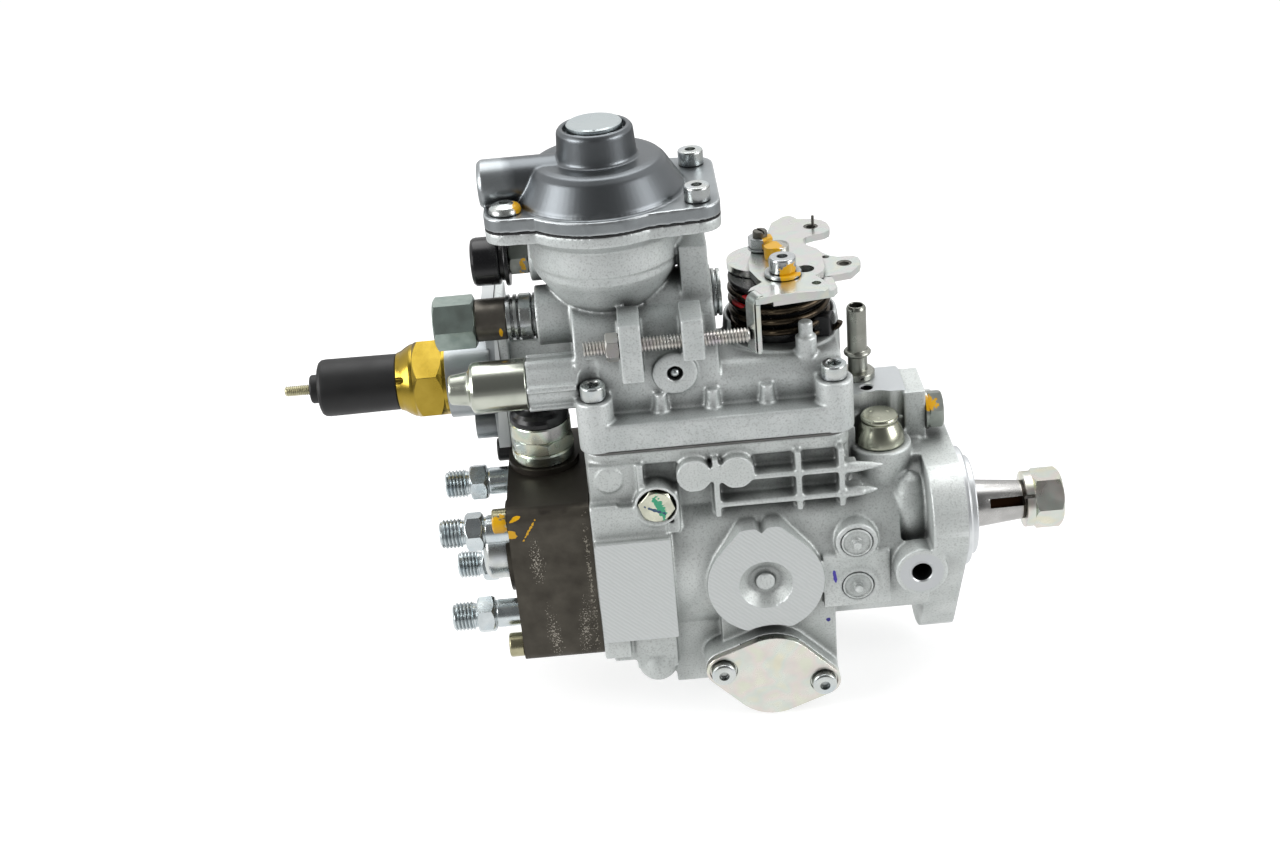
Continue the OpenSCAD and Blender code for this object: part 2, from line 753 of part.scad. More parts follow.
// The flange, the arched roof, the low roof and the throttle tower
module cover_body() {
    round_block([cover_x0 - 0.5, cover_x1], [-deck_half, deck_half], [cover_z, flange_top_z], 8);
    for (x = cover_screw_x, y = cover_screw_y)
        z_rod(14.6, cover_z, boss_top_z, x, y);
    block([cover_x0, roof_x1], [-roof_r, roof_r], [cover_z + 2, roof_z]);
    x_rod(2 * roof_r, cover_x0, roof_x1, 0, roof_z);
    block([roof_x1 - 1, cover_x1 - 1], [-roof_r, roof_r], [cover_z + 2, low_roof_z - 7]);
    block([roof_x1 - 1, cover_x1 - 1], [-roof_r + 7, roof_r - 7], [cover_z + 2, low_roof_z]);
    for (s = [-1, 1])
        x_rod(14, roof_x1 - 1, cover_x1 - 1, s * (roof_r - 7), low_roof_z - 7);
    throttle_tower();
    // round boss with the ball plug, and three ribs under it
    y_rod(17.6, -roof_r - 2.5, -roof_r + overlap, -109.5, 84.5);
    for (x = [-116, -95.5, -74])
        z_rod(4.8, flange_top_z - overlap, flange_top_z + 8, x, -roof_r - 1.5);
    // post beside the throttle spring
    z_rod(8.4, low_roof_z - 7, tower_top_z + 6.2, post_x, post_y);
    z_rod(5.6, tower_top_z, tower_top_z + 12.3, post_x, post_y);
}
post_x = -57.3;
post_y = -14;

// The tower around the throttle shaft: a cup that is open towards the post
module throttle_tower() {
    difference() {
        union() {
            z_rod(2 * tower_r + 2, flange_top_z + 2, tower_top_z - 2, throttle_x, throttle_y);
            translate([throttle_x, throttle_y, tower_top_z - 2.01])
                cylinder(r1 = tower_r + 1, r2 = tower_r, h = tower_rim_z - tower_top_z + 2);
            translate([throttle_x, throttle_y, cover_z + 3])
                cylinder(r1 = tower_r - 8, r2 = tower_r + 1, h = cover_flange_t);
        }
        z_rod(return_spring_d + 2 * gap + 0.4, tower_top_z, tower_rim_z + 1,
            throttle_x, throttle_y);
        block([throttle_x - 30, throttle_x + 30], [throttle_y - 30, throttle_y - 7],
            [tower_top_z, tower_rim_z + 1]);
        // room for the head of the cover screw behind the tower
        z_rod(15.2, boss_top_z, tower_rim_z + 1, cover_screw_x[1], cover_screw_y[1]);
    }
}

// Lugs that carry the stop screw
module cover_lugs() {
    for (i = [0, 1]) {
        low = i == 0 ? 86 : 93.5;
        block(lug_x[i], [-31, -12], [low, 110.5]);
    }
}

// The lower half of the boost compensator, cast with the cover
module compensator_bowl() {
    translate([comp_x, comp_y, 0]) {
        rotate_extrude() polygon([
            [0, 99], [8, 100.5], [bowl_d / 2 - 14, 104.5], [bowl_d / 2 - 8.5, 110],
            [bowl_d / 2 - 5.3, 114.5], [bowl_d / 2 - 1.8, 120], [bowl_d / 2 - 0.6, 122.5],
            [bowl_d / 2 - 0.6, 125.5], [bowl_d / 2, 126], [bowl_d / 2, 136.5],
            [comp_rim_r - 1, comp_bowl_z], [0, comp_bowl_z]
        ]);
        translate([0, 0, comp_bowl_z]) linear_extrude(comp_lower_t) rim_outline();
    }
    // bosses for the ring plug and for the cross bore
    x_rod(23, comp_x + 14, ring_plug_x, ring_plug_y, ring_plug_z);
    block([comp_x + 28, comp_x + 39], [-5, 15], [105, 130]);
}

// Outline of the two rims of the compensator, with a pair of screw lobes at each side
module rim_outline() {
    circle(r = comp_rim_r);
    for (side = [0, 2])
        hull()
            for (i = [side, side + 1]) {
                translate(comp_screws[i]) circle(r = comp_lobe_r, $fn = 32);
                translate([comp_screws[i][0] * 0.4, comp_screws[i][1] * 1.1])
                    circle(r = comp_lobe_r, $fn = 32);
            }
}

// Bosses at the head end of the cover
load_y = 8;
load_z = 101;
tamper_y = -14;
tamper_z = 82;
vent_y = 18;
vent_z = 122;
cold_y = 27;
cold_z = 68;
cold_arm_x = head_x0 + 1;
load_boss_x = cover_x0 - 14;
tamper_boss_x = cover_x0 - 19.5;
vent_boss_x = cover_x0 - 15;
module cover_arms() {
    x_rod(24, load_boss_x, cover_x0 + 8, load_y, load_z);
    x_rod(19.4, tamper_boss_x, cover_x0 + 3, tamper_y, tamper_z);
    for (a = [0 : 60 : 300])
        translate([0, tamper_y, tamper_z]) rotate([a + 20, 0, 0])
            block([tamper_boss_x, cover_x0], [-1.2, 1.2], [0, 11.4]);
    x_rod(19, vent_boss_x, cover_x0 + 8, vent_y, vent_z);
    // arm to the cold start device, beside the solenoid
    block([cold_arm_x, cover_x0 - 1.5], [23, 41], [50, 84]);
    block([cold_arm_x, cold_arm_x + 4], [19, 42], [head_top + 0.6, 103]);
    block([cover_x0 - 2, cover_x0 + 8], [10, 41], [cover_z + 3, 84]);
}

module cover_cavities() {
    block([cavity_x0, cavity_x1], [-cavity_half, cavity_half],
        [cover_z - overlap, cover_z + 10]);
    block([cavity_x0, roof_x1 - cover_wall],
        [-roof_r + cover_wall, roof_r - cover_wall], [cover_z, roof_z]);
    x_rod(2 * (roof_r - cover_wall), cavity_x0, roof_x1 - cover_wall, 0, roof_z);
    block([roof_x1 - cover_wall - 1, -51],
        [-roof_r + cover_wall, roof_r - cover_wall], [cover_z, low_roof_z - 9]);
    // bowl room for the spring and the stem
    z_rod(36, 122, comp_joint_z + overlap, comp_x, comp_y);
    z_rod(2 * plate_r + 4, comp_joint_z - stem_travel - 3, comp_joint_z + overlap,
        comp_x, comp_y);
}

module cover_bores() {
    for (x = cover_screw_x, y = cover_screw_y) {
        z_rod(m6_d + hole_play, cover_z - overlap, boss_top_z + overlap, x, y);
        z_rod(m6_head_d + 4 * gap, boss_top_z, boss_top_z + 14, x, y);
    }
    z_rod(throttle_d + 2 * fit, low_roof_z - 12, tower_top_z + overlap,
        throttle_x, throttle_y);
    z_rod(stem_d + 2 * fit, 96, 124, comp_x, comp_y);
    for (p = comp_screws)
        z_rod(m6_d + 2 * tap_play, comp_bowl_z - 6, comp_joint_z + overlap,
            comp_x + p[0], comp_y + p[1]);
    for (x = lug_x)
        x_rod(stop_screw_d + 2 * tap_play, x[0] - overlap, x[1] + overlap, stop_y, stop_z);
    x_rod(12 + 2 * tap_play, load_boss_x - 8, load_boss_x + 12, load_y, load_z);
    x_rod(12 + 2 * tap_play, tamper_boss_x - 2.5, tamper_boss_x + 15.5, tamper_y, tamper_z);
    x_rod(10 + 2 * tap_play, vent_boss_x - 7, vent_boss_x + 13, vent_y, vent_z);
    x_rod(12 + 2 * tap_play, ring_plug_x - 10, ring_plug_x + 1, ring_plug_y, ring_plug_z);
    x_rod(14 + 2 * tap_play, cold_arm_x - 10, cold_arm_x + 20, cold_y, cold_z);
    x_rod(m6_d + 2 * tap_play, cold_arm_x - 10, cold_arm_x + 10, cold_y, 42);
    y_rod(6.2, -roof_r - 4, -roof_r + 2, -109.5, 84.5);
}

module cover_gasket() {
    color("#5b5650") difference() {
        round_block([cover_x0, cover_x1], [-deck_half, deck_half],
            [deck_z + 0.05, deck_z + 0.05 + gasket_t], 8);
        block([cavity_x0, cavity_x1], [-cavity_half, cavity_half], [deck_z - 1, cover_z + 1]);
        for (x = cover_screw_x, y = cover_screw_y)
            z_rod(m6_d + hole_play, deck_z - 1, cover_z + 1, x, y);
    }
}

module cover_screws() {
    color("#c6c9c9") for (x = cover_screw_x, y = cover_screw_y)
        translate([x, y, boss_top_z + 0.05]) cap_screw(boss_top_z - deck_z + 14);
}

// Pressed cap of the pressure regulating valve, a waisted bell
module regulating_cap() {
    z0 = valve_seat_z + 0.1;
    color("#c9c39a") translate([valve_x, valve_y, z0]) {
        rotate_extrude() polygon([
            [0, 0], [9.9, 0], [10, 1.2], [9.4, 4], [8.3, 7], [7.2, 8.6], [7.2, 9.2],
            [7.6, 10], [7.6, 11.2], [6.9, 12], [0, 12]
        ]);
        translate([0, 0, -11.5]) cylinder(d = 14.9, h = 11.6);
    }
}

module return_nipple() {
    color("#8f9192") translate([nipple_x, nipple_y, inlet_top_z]) difference() {
        union() {
            cylinder(d = 14, h = 3);
            translate([0, 0, -8.5]) cylinder(d = 10, h = 9);
            cylinder(d = nipple_d, h = nipple_h - 1);
            translate([0, 0, nipple_h - 1.01]) cylinder(d1 = nipple_d, d2 = nipple_d - 1.4, h = 1);
            translate([0, 0, nipple_h * 0.32])
                cylinder(d = nipple_d + 3.2, h = 2);
        }
        translate([0, 0, -9]) cylinder(d = nipple_bore_d, h = nipple_h + 10);
    }
}

module block_bolt() {
    color("#a6aba4") {
        difference() {
            x_rod(16, -9.4, -8.2, -2, 48);
            x_rod(8.4, -10, -8, -2, 48);
        }
        turned_hex(14, -8.15, -2.2, -2, 48, 40);
        x_rod(8, -20, -8.1, -2, 48);
    }
}

// Shut-off solenoid on the head
solenoid_x = (head_x0 + head_x1) / 2 - 1.5;
solenoid_y = 7;
solenoid_seat_z = head_top + 2.5;
module solenoid_body() {
    z0 = solenoid_seat_z + 0.1;
    color("#c9ccb8") difference() {
        union() {
            z_rod(25.6, z0, z0 + 5, solenoid_x, solenoid_y);
            z_hex(solenoid_af, z0 + 4.9, z0 + 11, solenoid_x, solenoid_y, 12);
            z_rod(solenoid_d, z0 + 10.9, z0 + solenoid_h - 6, solenoid_x, solenoid_y);
            z_rod(18, head_barrel_d / 2 + 13.4, z0 + 1, solenoid_x, solenoid_y);
        }
        z_rod(armature_d + 2 * fit, head_barrel_d / 2, armature_z + armature_l + 3,
            solenoid_x, solenoid_y);
    }
}

module solenoid_boot() {
    z0 = solenoid_seat_z + 0.15 + solenoid_h - 6;
    color("#232325") difference() {
        union() {
            z_rod(solenoid_d - 1, z0, z0 + 3, solenoid_x, solenoid_y);
            z_rod(14, z0 + 2.9, z0 + 7, solenoid_x, solenoid_y);
        }
        z_rod(5, z0 + 2, z0 + 8, solenoid_x, solenoid_y);
    }
}

armature_d = 8;
armature_l = 14;
armature_z = head_barrel_d / 2 + 5;
module solenoid_armature() {
    color("#85888b") z_rod(armature_d, armature_z, armature_z + armature_l, solenoid_x, solenoid_y);
}

// Body of the cold start device: a flange plate with a round body in front of it
module cold_start_body() {
    plate_x1 = cold_arm_x - 0.1;
    plate_x0 = plate_x1 - 5;
    body_x0 = plate_x0 - 17.5;
    color("#b3b5b4") difference() {
        union() {
            block([plate_x0, plate_x1], [19, 42], [head_top + 0.6, 103]);
            x_rod(cold_body_d, body_x0, plate_x0 + overlap, cold_y, cold_z);
            x_rod(14, plate_x0, cold_arm_x + 8, cold_y, cold_z);
            x_rod(14, plate_x0 - 9, plate_x0 + overlap, cold_y + 1, 45);
        }
        x_rod(16 + 2 * tap_play, body_x0 - overlap, plate_x0, cold_y, cold_z);
        x_rod(m6_d + hole_play, plate_x0 - overlap, plate_x1 + overlap, cold_y, 42);
    }
}

cold_nut_x1 = cold_arm_x - 22.7;
cold_nut_l = 21;
module cold_start_nut() {
    color("#c8a544") difference() {
        union() {
            intersection() {
                x_hex(cold_nut_af, cold_nut_x1 - 14, cold_nut_x1 - 1, cold_y, cold_z, 27);
                x_cone(cold_nut_af - 1, cold_nut_af + 12, cold_nut_x1 - 14.5, cold_nut_x1 - 7,
                    cold_y, cold_z);
            }
            x_hex(cold_nut_af, cold_nut_x1 - 8, cold_nut_x1 - 1, cold_y, cold_z, 27);
            x_rod(cold_nut_af - 1, cold_nut_x1 - 1.1, cold_nut_x1, cold_y, cold_z);
            x_cone(cold_nut_af - 7, cold_nut_af - 0.5, cold_nut_x1 - cold_nut_l,
                cold_nut_x1 - 13.9, cold_y, cold_z);
            x_rod(16, cold_nut_x1 - 1, cold_nut_x1 + 12, cold_y, cold_z);
        }
        x_rod(heater_neck_d + 2 * tap_play, cold_nut_x1 - cold_nut_l - 1, cold_nut_x1 - 6,
            cold_y, cold_z);
    }
}

heater_neck_d = 18;
heater_x1 = cold_nut_x1 - cold_nut_l - 0.05;
heater_x0 = heater_x1 - heater_l;
module heater_capsule() {
    color("#26272a") difference() {
        union() {
            x_rod(heater_d, heater_x0 + 2.5, heater_x1, cold_y, cold_z);
            x_cone(heater_d - 4, heater_d, heater_x0, heater_x0 + 2.6, cold_y, cold_z);
            x_rod(12, heater_x0 - 4, heater_x0 + 1, cold_y, cold_z);
            x_rod(heater_neck_d, heater_x1 - 0.1, cold_nut_x1 - 7, cold_y, cold_z);
        }
        x_rod(heater_stud_d - 0.8 + 2 * tap_play, heater_x0 - 5, heater_x0 + 6, cold_y, cold_z);
    }
}

module heater_stud() {
    color("#c3bd84") {
        x_rod(heater_stud_d, heater_x0 - 15, heater_x0 - 4.05, cold_y, cold_z);
        x_rod(heater_stud_d - 0.8, heater_x0 - 4.1, heater_x0 + 5.5, cold_y, cold_z);
    }
}

// Steel cap over the idle adjuster, with a tapered nose
module tamper_cap() {
    x1 = tamper_boss_x - 0.1;
    color("#b9bab2") {
        x_rod(20.6, x1 - 21.5, x1, tamper_y, tamper_z);
        x_cone(19, 20.6, x1 - 22.5, x1 - 21.4, tamper_y, tamper_z);
        x_rod(13.5, x1 - 29, x1 - 22, tamper_y, tamper_z);
        x_cone(11, 13.5, x1 - 31, x1 - 28.9, tamper_y, tamper_z);
        x_rod(12, x1 - 1, x1 + 14, tamper_y, tamper_z);
    }
}

// Full-load screw: hexagon and sleeve, then two rings and a notched nut
load_nut_x0 = load_boss_x - 12;
load_nut_x1 = load_boss_x - 0.1;
module load_screw_cap() {
    color("#6d7069") {
        turned_hex(19, load_nut_x0 - 29, load_nut_x0 - 12.5, load_y, load_z, 9);
        x_rod(17, load_nut_x0 - 12.6, load_nut_x0 - 0.05, load_y, load_z);
    }
}

module load_screw_nuts() {
    w = load_nut_x1 - load_nut_x0;
    color("#c4c7be") difference() {
        union() {
            x_rod(18.8, load_nut_x0, load_nut_x0 + w * 0.3, load_y, load_z);
            x_rod(17, load_nut_x0 + w * 0.25, load_nut_x1 - w * 0.2, load_y, load_z);
            x_rod(18.8, load_nut_x1 - w * 0.25, load_nut_x1 - 0.05, load_y, load_z);
            x_rod(12, load_nut_x1 - 1, load_nut_x1 + 10, load_y, load_z);
        }
        for (a = [0 : 60 : 300])
            translate([0, load_y, load_z]) rotate([a + 28, 0, 0])
                block([load_nut_x0 + w * 0.42, load_nut_x0 + w * 0.68], [-1.6, 1.6], [7.2, 10]);
    }
}

// Upper half of the boost compensator: rim, cone, neck and boost pipe
module compensator_cover() {
    z0 = comp_cover_z;
    neck_r = comp_neck_d / 2;
    cone_r = comp_rim_r - 2.5;
    shoulder_r = 25.5;
    color("#b5b7b7") difference() {
        union() {
            translate([comp_x, comp_y, z0]) linear_extrude(comp_upper_t) rim_outline();
            translate([comp_x, comp_y, 0]) rotate_extrude() polygon([
                [0, z0 + 1], [cone_r, z0 + 1], [cone_r, z0 + comp_upper_t + 1.5],
                [shoulder_r + 1, comp_cone_top - 2.5], [shoulder_r - 1, comp_cone_top - 0.6],
                [shoulder_r - 3.5, comp_cone_top], [neck_r + 1.5, comp_cone_top],
                [neck_r + 0.7, comp_cone_top + 1], [neck_r, comp_neck_top - 1.5],
                [neck_r - 1.2, comp_neck_top], [0, comp_neck_top]
            ]);
            x_rod(boost_pipe_d, pipe_x0 + 1.5, comp_x, comp_y, pipe_z);
            x_cone(boost_pipe_d - 2.4, boost_pipe_d, pipe_x0, pipe_x0 + 1.6, comp_y, pipe_z);
        }
        // room for the stem plate, its travel and the closing disc
        z_rod(2 * plate_r + 4, z0 - overlap, z0 + 5, comp_x, comp_y);
        z_rod(36, z0 + 4, comp_cone_top - 4, comp_x, comp_y);
        z_rod(16, z0 + 4, comp_neck_top - 5, comp_x, comp_y);
        z_rod(comp_disc_d + 2.6, comp_neck_top - 3.2, comp_neck_top + overlap, comp_x, comp_y);
        z_rod(12 + 2 * tap_play, comp_neck_top - 12, comp_neck_top, comp_x, comp_y);
        x_rod(boost_bore_d, pipe_x0 - overlap, comp_x - 17, comp_y, pipe_z);
        for (p = comp_screws)
            z_rod(m6_d + hole_play, z0 - overlap, z0 + comp_upper_t + overlap,
                comp_x + p[0], comp_y + p[1]);
    }
}
pipe_x0 = comp_x - 46.5;
pipe_z = comp_cover_z + 11.8;

module compensator_screws() {
    z0 = comp_cover_z + comp_upper_t + 0.05;
    color("#c6c9c9") for (p = comp_screws)
        translate([comp_x + p[0], comp_y + p[1], z0]) cap_screw(10.5);
}

module compensator_disc() {
    z0 = comp_neck_top - 3.1;
    color("#cccfcd") {
        z_rod(comp_disc_d, z0, z0 + 4, comp_x, comp_y);
        translate([comp_x, comp_y, z0 + 3.99])
            cylinder(d1 = comp_disc_d, d2 = comp_disc_d - 1, h = 0.5);
        z_rod(12, z0 - 8.5, z0 + 0.1, comp_x, comp_y);
    }
}

// Rim of the diaphragm, clamped between the two rims
module compensator_diaphragm() {
    z0 = comp_joint_z - diaphragm_t / 2 + 0.05;
    color("#2c2c2c") difference() {
        translate([comp_x, comp_y, z0]) linear_extrude(diaphragm_t - 0.1) rim_outline();
        z_rod(2 * plate_r + 2 * gap, z0 - overlap, z0 + 2, comp_x, comp_y);
        for (p = comp_screws)
            z_rod(m6_d + hole_play, z0 - overlap, z0 + 2, comp_x + p[0], comp_y + p[1]);
    }
}

// Stem and plate that the diaphragm pushes down
stem_d = 9;
plate_r = 22;
module compensator_stem() {
    color("#9fa3a5") {
        z_rod(stem_d, 106, comp_joint_z, comp_x, comp_y);
        z_rod(2 * plate_r, comp_joint_z - 0.6, comp_joint_z + 1.4, comp_x, comp_y);
        z_rod(16, comp_joint_z + 1.3, comp_joint_z + 4, comp_x, comp_y);
    }
}

// Vent fitting of the compensator, with its protective cap
vent_cap_x = vent_boss_x - 21;
module vent_fitting() {
    color("#8b8e89") {
        turned_hex(12, vent_boss_x - 8, vent_boss_x - 0.05, vent_y, vent_z, 50);
        x_rod(10, vent_boss_x - 0.1, vent_boss_x + 11, vent_y, vent_z);
        x_rod(8, vent_cap_x, vent_boss_x - 7.9, vent_y, vent_z);
    }
}

module vent_cap() {
    color("#1f1f21") difference() {
        union() {
            x_rod(19.5, vent_cap_x, vent_cap_x + 9.5, vent_y, vent_z);
            x_cone(17.5, 19.5, vent_cap_x - 2, vent_cap_x + 0.1, vent_y, vent_z);
            x_rod(16.5, vent_cap_x + 9, vent_cap_x + 11.4, vent_y, vent_z);
            x_rod(21, vent_cap_x + 11.2, vent_cap_x + 12.9, vent_y, vent_z);
        }
        x_rod(8 + 2 * tap_play, vent_cap_x - 0.1, vent_cap_x + 14, vent_y, vent_z);
    }
}

ring_plug_x = comp_x + 40;
ring_plug_y = 6;
ring_plug_z = 105;
module ring_plug() {
    color("#c9ccc4") {
        for (x = [0.1, 2.2])
            x_rod(19, ring_plug_x + x, ring_plug_x + x + 1.4, ring_plug_y, ring_plug_z);
        x_rod(17.4, ring_plug_x + 0.2, ring_plug_x + 3.4, ring_plug_y, ring_plug_z);
        x_rod(12, ring_plug_x - 9, ring_plug_x + 1, ring_plug_y, ring_plug_z);
    }
}

// Idle stop screw and its lock nut
stop_tip_x = tab_x - gap;
module stop_screw() {
    color("#b9b4a0") {
        x_rod(stop_screw_d, lug_x[0][0] - 14, stop_tip_x, stop_y, stop_z);
        difference() {
            turned_hex(10, lug_x[0][0] - 5.3, lug_x[0][0] - 0.1, stop_y, stop_z, 20);
            x_rod(stop_screw_d + 2 * tap_play, lug_x[0][0] - 10, lug_x[0][0], stop_y, stop_z);
        }
    }
}

module governor_pin() {
    color("#8a8d90") x_rod(governor_pin_d, lever_x + 8.3, -34.2, 0, governor_z);
}

// Return spring of the throttle lever: a stack of turns around the tower
module return_spring() {
    color("#3a3128") for (i = [0 : spring_turns - 1])
        translate([throttle_x, throttle_y, tower_top_z + gap + spring_wire / 2 + i * spring_pitch])
            rotate_extrude() translate([return_spring_d / 2 - spring_wire / 2, 0])
                circle(d = spring_wire, $fn = 24);
}
spring_turns = 5;
spring_wire = 3;
spring_pitch = 4.5;

// Plastic drum that guides the turns of the return spring
module spring_drum() {
    drum_d = return_spring_d - 2 * spring_wire - 2 * gap;
    color("#1e1e20") difference() {
        union() {
            z_rod(drum_d, tower_top_z + 0.1, lever_z0 - gap, throttle_x, throttle_y);
            z_rod(return_spring_d - 1, lever_z0 - 2.5, lever_z0 - gap, throttle_x, throttle_y);
        }
        z_rod(throttle_d + 2 * gap, tower_top_z - 1, lever_z0, throttle_x, throttle_y);
    }
}

module drive_shaft() {
    key_z = 26;
    color("#9b9c9d") {
        difference() {
            union() {
                x_rod(shaft_d, shaft_hub_x1 - overlap, taper_x);
                x_cone(shaft_d, taper_small_d, taper_x - 0.01, taper_end_x);
                x_rod(shaft_thread_d, taper_end_x - 0.01, shaft_end_x);
                x_rod(32, shaft_hub_x0, shaft_hub_x1);
                for (s = [-1, 1])
                    block([disc_x0 + 1, shaft_hub_x0 + overlap],
                        s > 0 ? [6, 15] : [-15, -6], [-3.2, 3.2]);
            }
            rotate([-key_z, 0, 0])
                round_key_slot();
        }
    }
}

// Slot for a half-round key, open to the near side of the shaft
module round_key_slot() {
    x0 = taper_end_x - key_l - 0.5;
    block([x0, x0 + key_l], [-shaft_d, -shaft_d / 2 + 4], [-key_w / 2, key_w / 2]);
}

module drive_nut() {
    color("#bfc2bb") {
        difference() {
            turned_hex(nut_af, nut_x, nut_x + nut_t, 0, 0, 56);
            x_rod(shaft_thread_d + 2 * tap_play, nut_x - overlap, nut_x + nut_t + overlap);
        }
        difference() {
            x_rod(23.5, taper_end_x + 0.25, nut_x - 0.15);
            x_rod(shaft_thread_d + 0.8, taper_end_x, nut_x);
            rotate([55, 0, 0]) block([taper_end_x, nut_x], [-0.8, 0.8], [5, 13]);
        }
    }
}

// Involute gear outline about its centre, with one tooth on the first axis
pressure_angle = 20;
backlash = 0.25;
function involute(rb, t) =
    rb * [cos(t) + t * PI / 180 * sin(t), sin(t) - t * PI / 180 * cos(t)];
function turned(p, a) = [p[0] * cos(a) - p[1] * sin(a), p[0] * sin(a) + p[1] * cos(a)];
function roll_at(rb, r) = sqrt(max(0, pow(r / rb, 2) - 1)) * 180 / PI;
module gear_outline(teeth, m) {
    pitch_r = m * teeth / 2;
    base_r = pitch_r * cos(pressure_angle);
    root_r = pitch_r - 1.25 * m;
    tip_r = pitch_r + 0.95 * m;
    low_r = max(base_r, root_r);
    roll_p = roll_at(base_r, pitch_r);
    pitch_point = involute(base_r, roll_p);
    half = 90 / teeth - backlash / pitch_r * 90 / PI
        + atan2(pitch_point[1], pitch_point[0]);
    steps = 4;
    flank = [for (k = [0 : steps])
        involute(base_r, roll_at(base_r, low_r + (tip_r - low_r) * k / steps))];
    polygon([for (i = [0 : teeth - 1]) let (a = 360 * i / teeth) each concat(
        [turned([root_r, 0], a - half)],
        [for (p = flank) turned(p, a - half)],
        [for (k = [steps : -1 : 0]) turned([flank[k][0], -flank[k][1]], a + half)],
        [turned([root_r, 0], a + half)]
    )]);
}

module drive_gear() {
    color("#7f8285") difference() {
        across_x(gear_x0, gear_x1) rotate(90) gear_outline(gear_teeth, gear_module);
        x_rod(shaft_d + 2 * tap_play, gear_x0 - overlap, gear_x1 + overlap);
        for (a = [0 : 60 : 300])
            translate([0, 17.5 * cos(a), 17.5 * sin(a)]) x_rod(7, gear_x0 - 1, gear_x1 + 1);
    }
}

// Rotor of the feed pump with four vanes in its slots
module vane_rotor() {
    x0 = feed_x0 + gap;
    x1 = x0 + rotor_w;
    rotor_r = feed_ring_r - 10.5;
    color("#808386") {
        difference() {
            x_rod(2 * rotor_r, x0, x1);
            x_rod(shaft_d + 2 * tap_play, x0 - overlap, x1 + overlap);
            for (a = [0 : 90 : 270])
                rotate([a, 0, 0]) block([x0 - 1, x1 + 1], [-1.55, 1.55], [12.5, rotor_r + 2]);
        }
        for (a = [0 : 90 : 270])
            rotate([a, 0, 0]) block([x0, x1], [-1.5, 1.5], [12.6, rotor_r + 0.15]);
    }
}

// Cam plate with four lobes, its claws, and the coupling disc between it and the shaft
module cam_plate() {
    color("#86898c") {
        difference() {
            union() {
                x_rod(60, cam_x0, cam_x1 - cam_lift);
                for (a = [0 : 90 : 270])
                    rotate([a, 0, 0]) cam_lobe();
                x_rod(34, cam_x0, cam_x1 + 4);
                for (s = [-1, 1])
                    block([cam_x1 + 1, disc_x1 - 1], [-3.2, 3.2], s > 0 ? [6, 15] : [-15, -6]);
            }
            x_rod(plunger_d + 2 * tap_play, cam_x0 - overlap, cam_x0 + 6);
        }
        difference() {
            x_rod(32, disc_x0, disc_x1);
            for (a = [0 : 90 : 270])
                rotate([a, 0, 0])
                    block([disc_x0 - 1, disc_x1 + 1], [5.6, 17], [-3.5, 3.5]);
        }
    }
}

module cam_lobe() {
    lobe_w = 13;
    translate([cam_x1 - cam_lift - 0.5, 0, 15]) rotate([90, 0, 90]) linear_extrude(cam_lift + 0.5)
        polygon([[-lobe_w / 2, 0], [lobe_w / 2, 0], [lobe_w / 2 + 2, 13], [-lobe_w / 2 - 2, 13]]);
}

module plunger() {
    x0 = head_x0 + 4;
    x1 = cam_x0 + 5.8;
    color("#a3a6a9") difference() {
        x_rod(plunger_d, x0, x1);
        // metering slits at the pump end and the spill port
        for (a = [0 : 90 : 270])
            rotate([a, 0, 0]) block([x0 - 1, x0 + 5], [-0.6, 0.6], [plunger_d / 2 - 1, plunger_d]);
        x_rod(2, x0 - 1, lever_x);
        z_rod(1.8, -plunger_d, plunger_d, lever_x, 0);
    }
}

// Cage with its gear and four flyweights in their windows
module flyweight_cage() {
    color("#8b8e91") {
        difference() {
            union() {
                across_x(gear_x0, gear_x1) translate([0, governor_z])
                    rotate(270 + 180 / cage_teeth) gear_outline(cage_teeth, gear_module);
                x_rod(2 * cage_r, cage_x0, cage_x1, 0, governor_z);
                x_rod(28, cage_x1 - overlap, gear_x0 + overlap, 0, governor_z);
            }
            x_rod(governor_pin_d + 2 * fit, cage_x0 - 1, gear_x1 + 1, 0, governor_z);
            x_rod(2 * cage_r - 5, cage_x0 - 1, cage_x1 - 2.5, 0, governor_z);
            for (a = [0 : 90 : 270])
                translate([0, 0, governor_z]) rotate([a, 0, 0])
                    block([cage_x0 + 3, cage_x1 - 2.5], [-7, 7], [5, cage_r + 2]);
        }
        for (a = [0 : 90 : 270])
            translate([0, 0, governor_z]) rotate([a, 0, 0]) flyweight();
    }
}

module flyweight() {
    block([cage_x0 + 4, cage_x1 - 3], [-6.4, 6.4], [10.4, cage_r - 1.5]);
    block([cage_x0 + 4, cage_x0 + 7], [-6.4, 6.4], [5.2, cage_r - 1.5]);
}

module governor_sleeve() {
    x1 = cage_x0 + 3.6;
    x0 = lever_x + lever_plate_t / 2 + gap;
    color("#9a9da0") difference() {
        union() {
            x_rod(2 * sleeve_r, x0 + 3, x1, 0, governor_z);
            x_cone(5, 2 * sleeve_r, x0, x0 + 3.01, 0, governor_z);
        }
        x_rod(governor_pin_d + 2 * fit, lever_x + 4.3, x1 + 1, 0, governor_z);
    }
}

